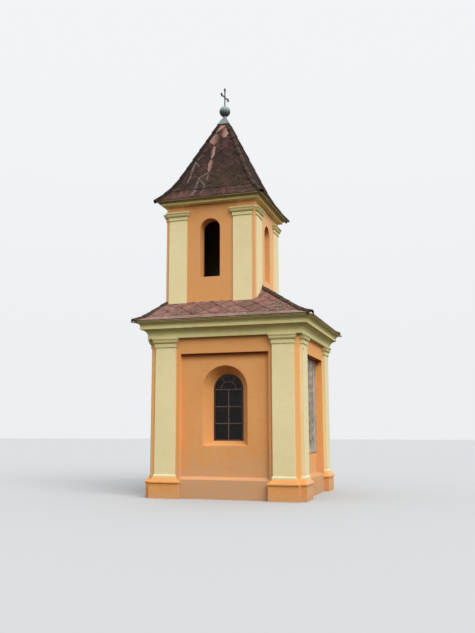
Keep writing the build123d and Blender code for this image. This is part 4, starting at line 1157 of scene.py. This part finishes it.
def upright_shell(radii, levels, points):
    """Closed shell about the tower's axis: at each level a ring of points at their radii."""
    x, y = circle(points, 1).T
    rings = np.stack([tower_middle + radii * x, radii * y, levels[:, None] + 0 * x], -1)
    return rings.reshape(-1, 3), tube_faces(len(levels), points)


levels = np.array((
    cap_foot, cap_foot + 0.006, cap_foot + 0.014, 9.72, 9.78, 9.84, 9.88, neck_foot,
    neck_foot + 0.02, neck_head,
))
reaches = np.interp(levels, (cap_foot, neck_foot), (cap_half, neck_radius))
reaches += (0.004, 0.004, 0, 0, 0, 0, 0, 0.002, 0, 0)
squares = np.interp(levels, (cap_foot, 9.84, neck_foot), (1.0, 0.75, 0.0))
radii = cap_section(circle(64, 1), reaches[:, None], squares[:, None])
cap_shells = [upright_shell(radii, levels, 64)]
for x, y in polar(np.radians((45, 135, 225, 315))):
    reach = cap_section(np.array((x, y)), reaches[1:8], squares[1:8])
    path = np.stack([tower_middle + x * reach, y * reach, levels[1:8]], 1)
    cap_shells.append(swept(path, (-y, x, 0), (x, y, 0), circle(8, fold_radius)))

# Weathered sheet metal: dull clouds, streaks down from the top, and a colour that darkens
# towards the bottom: grime gathered underneath on the cap, painted shade on the ball.
dull_metal, given, put_out, place = new_group(
    "dull sheet metal", ("body", "dark", "pale", "grime"), grime_top=0, grime_foot=0
)
clouds = noise(place, 9, 5, 0.38, 0.68)
streaks = noise(place * (40, 40, 4), 1, 4, 0.45, 0.72)
spots = noise(place, 90, 3, 0.52, 0.75)
# Darker towards the bottom: grime on the cap, painted shade on the ball.
sunk = (given.grime_top - place.split()[2]) / (given.grime_top - given.grime_foot)
coat = layered(
    given.body, (clouds, given.pale), (streaks * 0.5, given.dark), (spots * 0.3, given.dark),
    (spread(sunk + clouds * 0.15, 0.1, 1.0, 0.0, 0.9), given.grime),
)
end_group(put_out, coat, clouds, 0.5, 0.72, clouds + spots)
zinc = surface(
    "zinc cap", dull_metal, 0.001, metallic=0.15, body=(116, 126, 127), dark=(94, 104, 106),
    pale=(132, 141, 141), grime=(104, 108, 106), grime_top=9.75, grime_foot=9.60,
)
cap = new_piece("zinc_cap", make_mesh(*joined(cap_shells)), zinc, 40)
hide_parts("spire_cap")

# Ball of the finial: two pressed half shells of sheet metal soldered together in a raised seam,
# with short collars where the neck enters and the cross leaves.
ball_height, ball_radius, seam_rise = 10.0797, 0.148, 0.003
fall = np.concatenate([np.linspace(-1.25, -0.05, 12), (-0.03, 0.03), np.linspace(0.05, 1.4, 13)])
ball_reach = ball_radius * np.cos(fall) + np.where(abs(fall) < 0.04, seam_rise, 0.0)
profile_reach = np.concatenate([[0.05, 0.05], ball_reach, [0.031, 0.031, 0.024, 0.0245]])
profile_level = ball_height + np.concatenate([
    [-0.142, -0.1395], ball_radius * np.sin(fall), [0.1465, 0.152, 0.154, 0.154]
])
# The ball is painted darker over its lower half, as painted shade.
ball_metal = surface(
    "ball metal", dull_metal, 0.001, metallic=0.2, body=(126, 148, 147), dark=(98, 118, 119),
    pale=(146, 163, 160), grime=(60, 54, 56), grime_top=10.13, grime_foot=9.98,
)
ball_mesh = make_mesh(*upright_shell(profile_reach[:, None], profile_level, 48))
ball = new_piece("finial_ball", ball_mesh, ball_metal, 40)
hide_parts("ball")

# Cross: flat bars of wrought iron with trefoil ends, forged together and riveted at the crossing,
# under flaking dark paint.
cross_iron = surface(
    "cross iron", old_iron, 0.001, coat=(74, 68, 76), rust=(70, 56, 52), rusting=0.5
)
dress(cross_iron, "cross")

# The camera stands at the height of a grown person's eyes, 18 m off the middle of the body and
# nearer the rear right-hand corner, and looks slightly up.
camera_data = bpy.data.cameras.new("camera")
camera_data.lens = 40.21
camera_data.sensor_width = 36
camera = new_object("camera", camera_data)
camera.location = (5.166, -17.192, 1.6)
camera.rotation_euler = (radians(98.936), radians(0.107), radians(17.333))
bpy.context.scene.camera = camera
bpy.context.scene.view_settings.view_transform = "Standard"

# Plain pale floor. Light that bounces off it is darker than what the camera sees, as over grass.
floor_half = 80


def seen(tree):
    """1 for a ray of the camera, of a gleam or through a pane, 0 for light that bounces."""
    path = add_node(tree, "ShaderNodeLightPath").outputs
    look = Field(path["Is Camera Ray"]).maths("MAXIMUM", path["Is Glossy Ray"])
    return look.maths("MAXIMUM", path["Is Transmission Ray"])


floor_corners = np.array([(-1, -1, 0), (1, -1, 0), (1, 1, 0), (-1, 1, 0)]) * floor_half
floor = new_object("floor", make_mesh(floor_corners, [np.arange(4)[None]]))
floor_paint, tree, shader = new_material("pale floor")
feed(shader, {
    "Base Color": mixed(seen(tree), (0.06, 0.055, 0.035, 1), (0.42, 0.43, 0.44, 1)),
    "Roughness": 0.95, "Specular IOR Level": 0.1,
})
floor.data.materials.append(floor_paint)

# Soft overcast light: a sky that is brighter overhead, and a broad veiled sun from the rear.
world = bpy.data.worlds.new("overcast")
bpy.context.scene.world = world
world.use_nodes = True
tree = world.node_tree
overhead = Field(add_node(tree, "ShaderNodeTexCoord").outputs["Generated"]).split()[2]
sky = mixed(spread(overhead, 0.04, 0.24), (0.08, 0.08, 0.06, 1), (1.05, 1.05, 1.06, 1))
sky = mixed(spread(overhead, 0.25, 1.0), sky, (1.2, 1.22, 1.26, 1))
backdrop = mixed(spread(overhead, 0.0, 0.5), (0.85, 0.86, 0.88, 1), (0.89, 0.90, 0.92, 1))
feed(tree.nodes["Background"].inputs, {
    "Color": mixed(seen(tree), sky, backdrop), "Strength": 1.0,
})
sun_data = bpy.data.lights.new("veiled sun", "SUN")
sun_data.energy = 2.9
sun_data.angle = radians(50)
sun_data.color = (1.0, 0.98, 0.94)
sun = new_object("veiled sun", sun_data)
sun.rotation_euler = (radians(49), 0, radians(49))
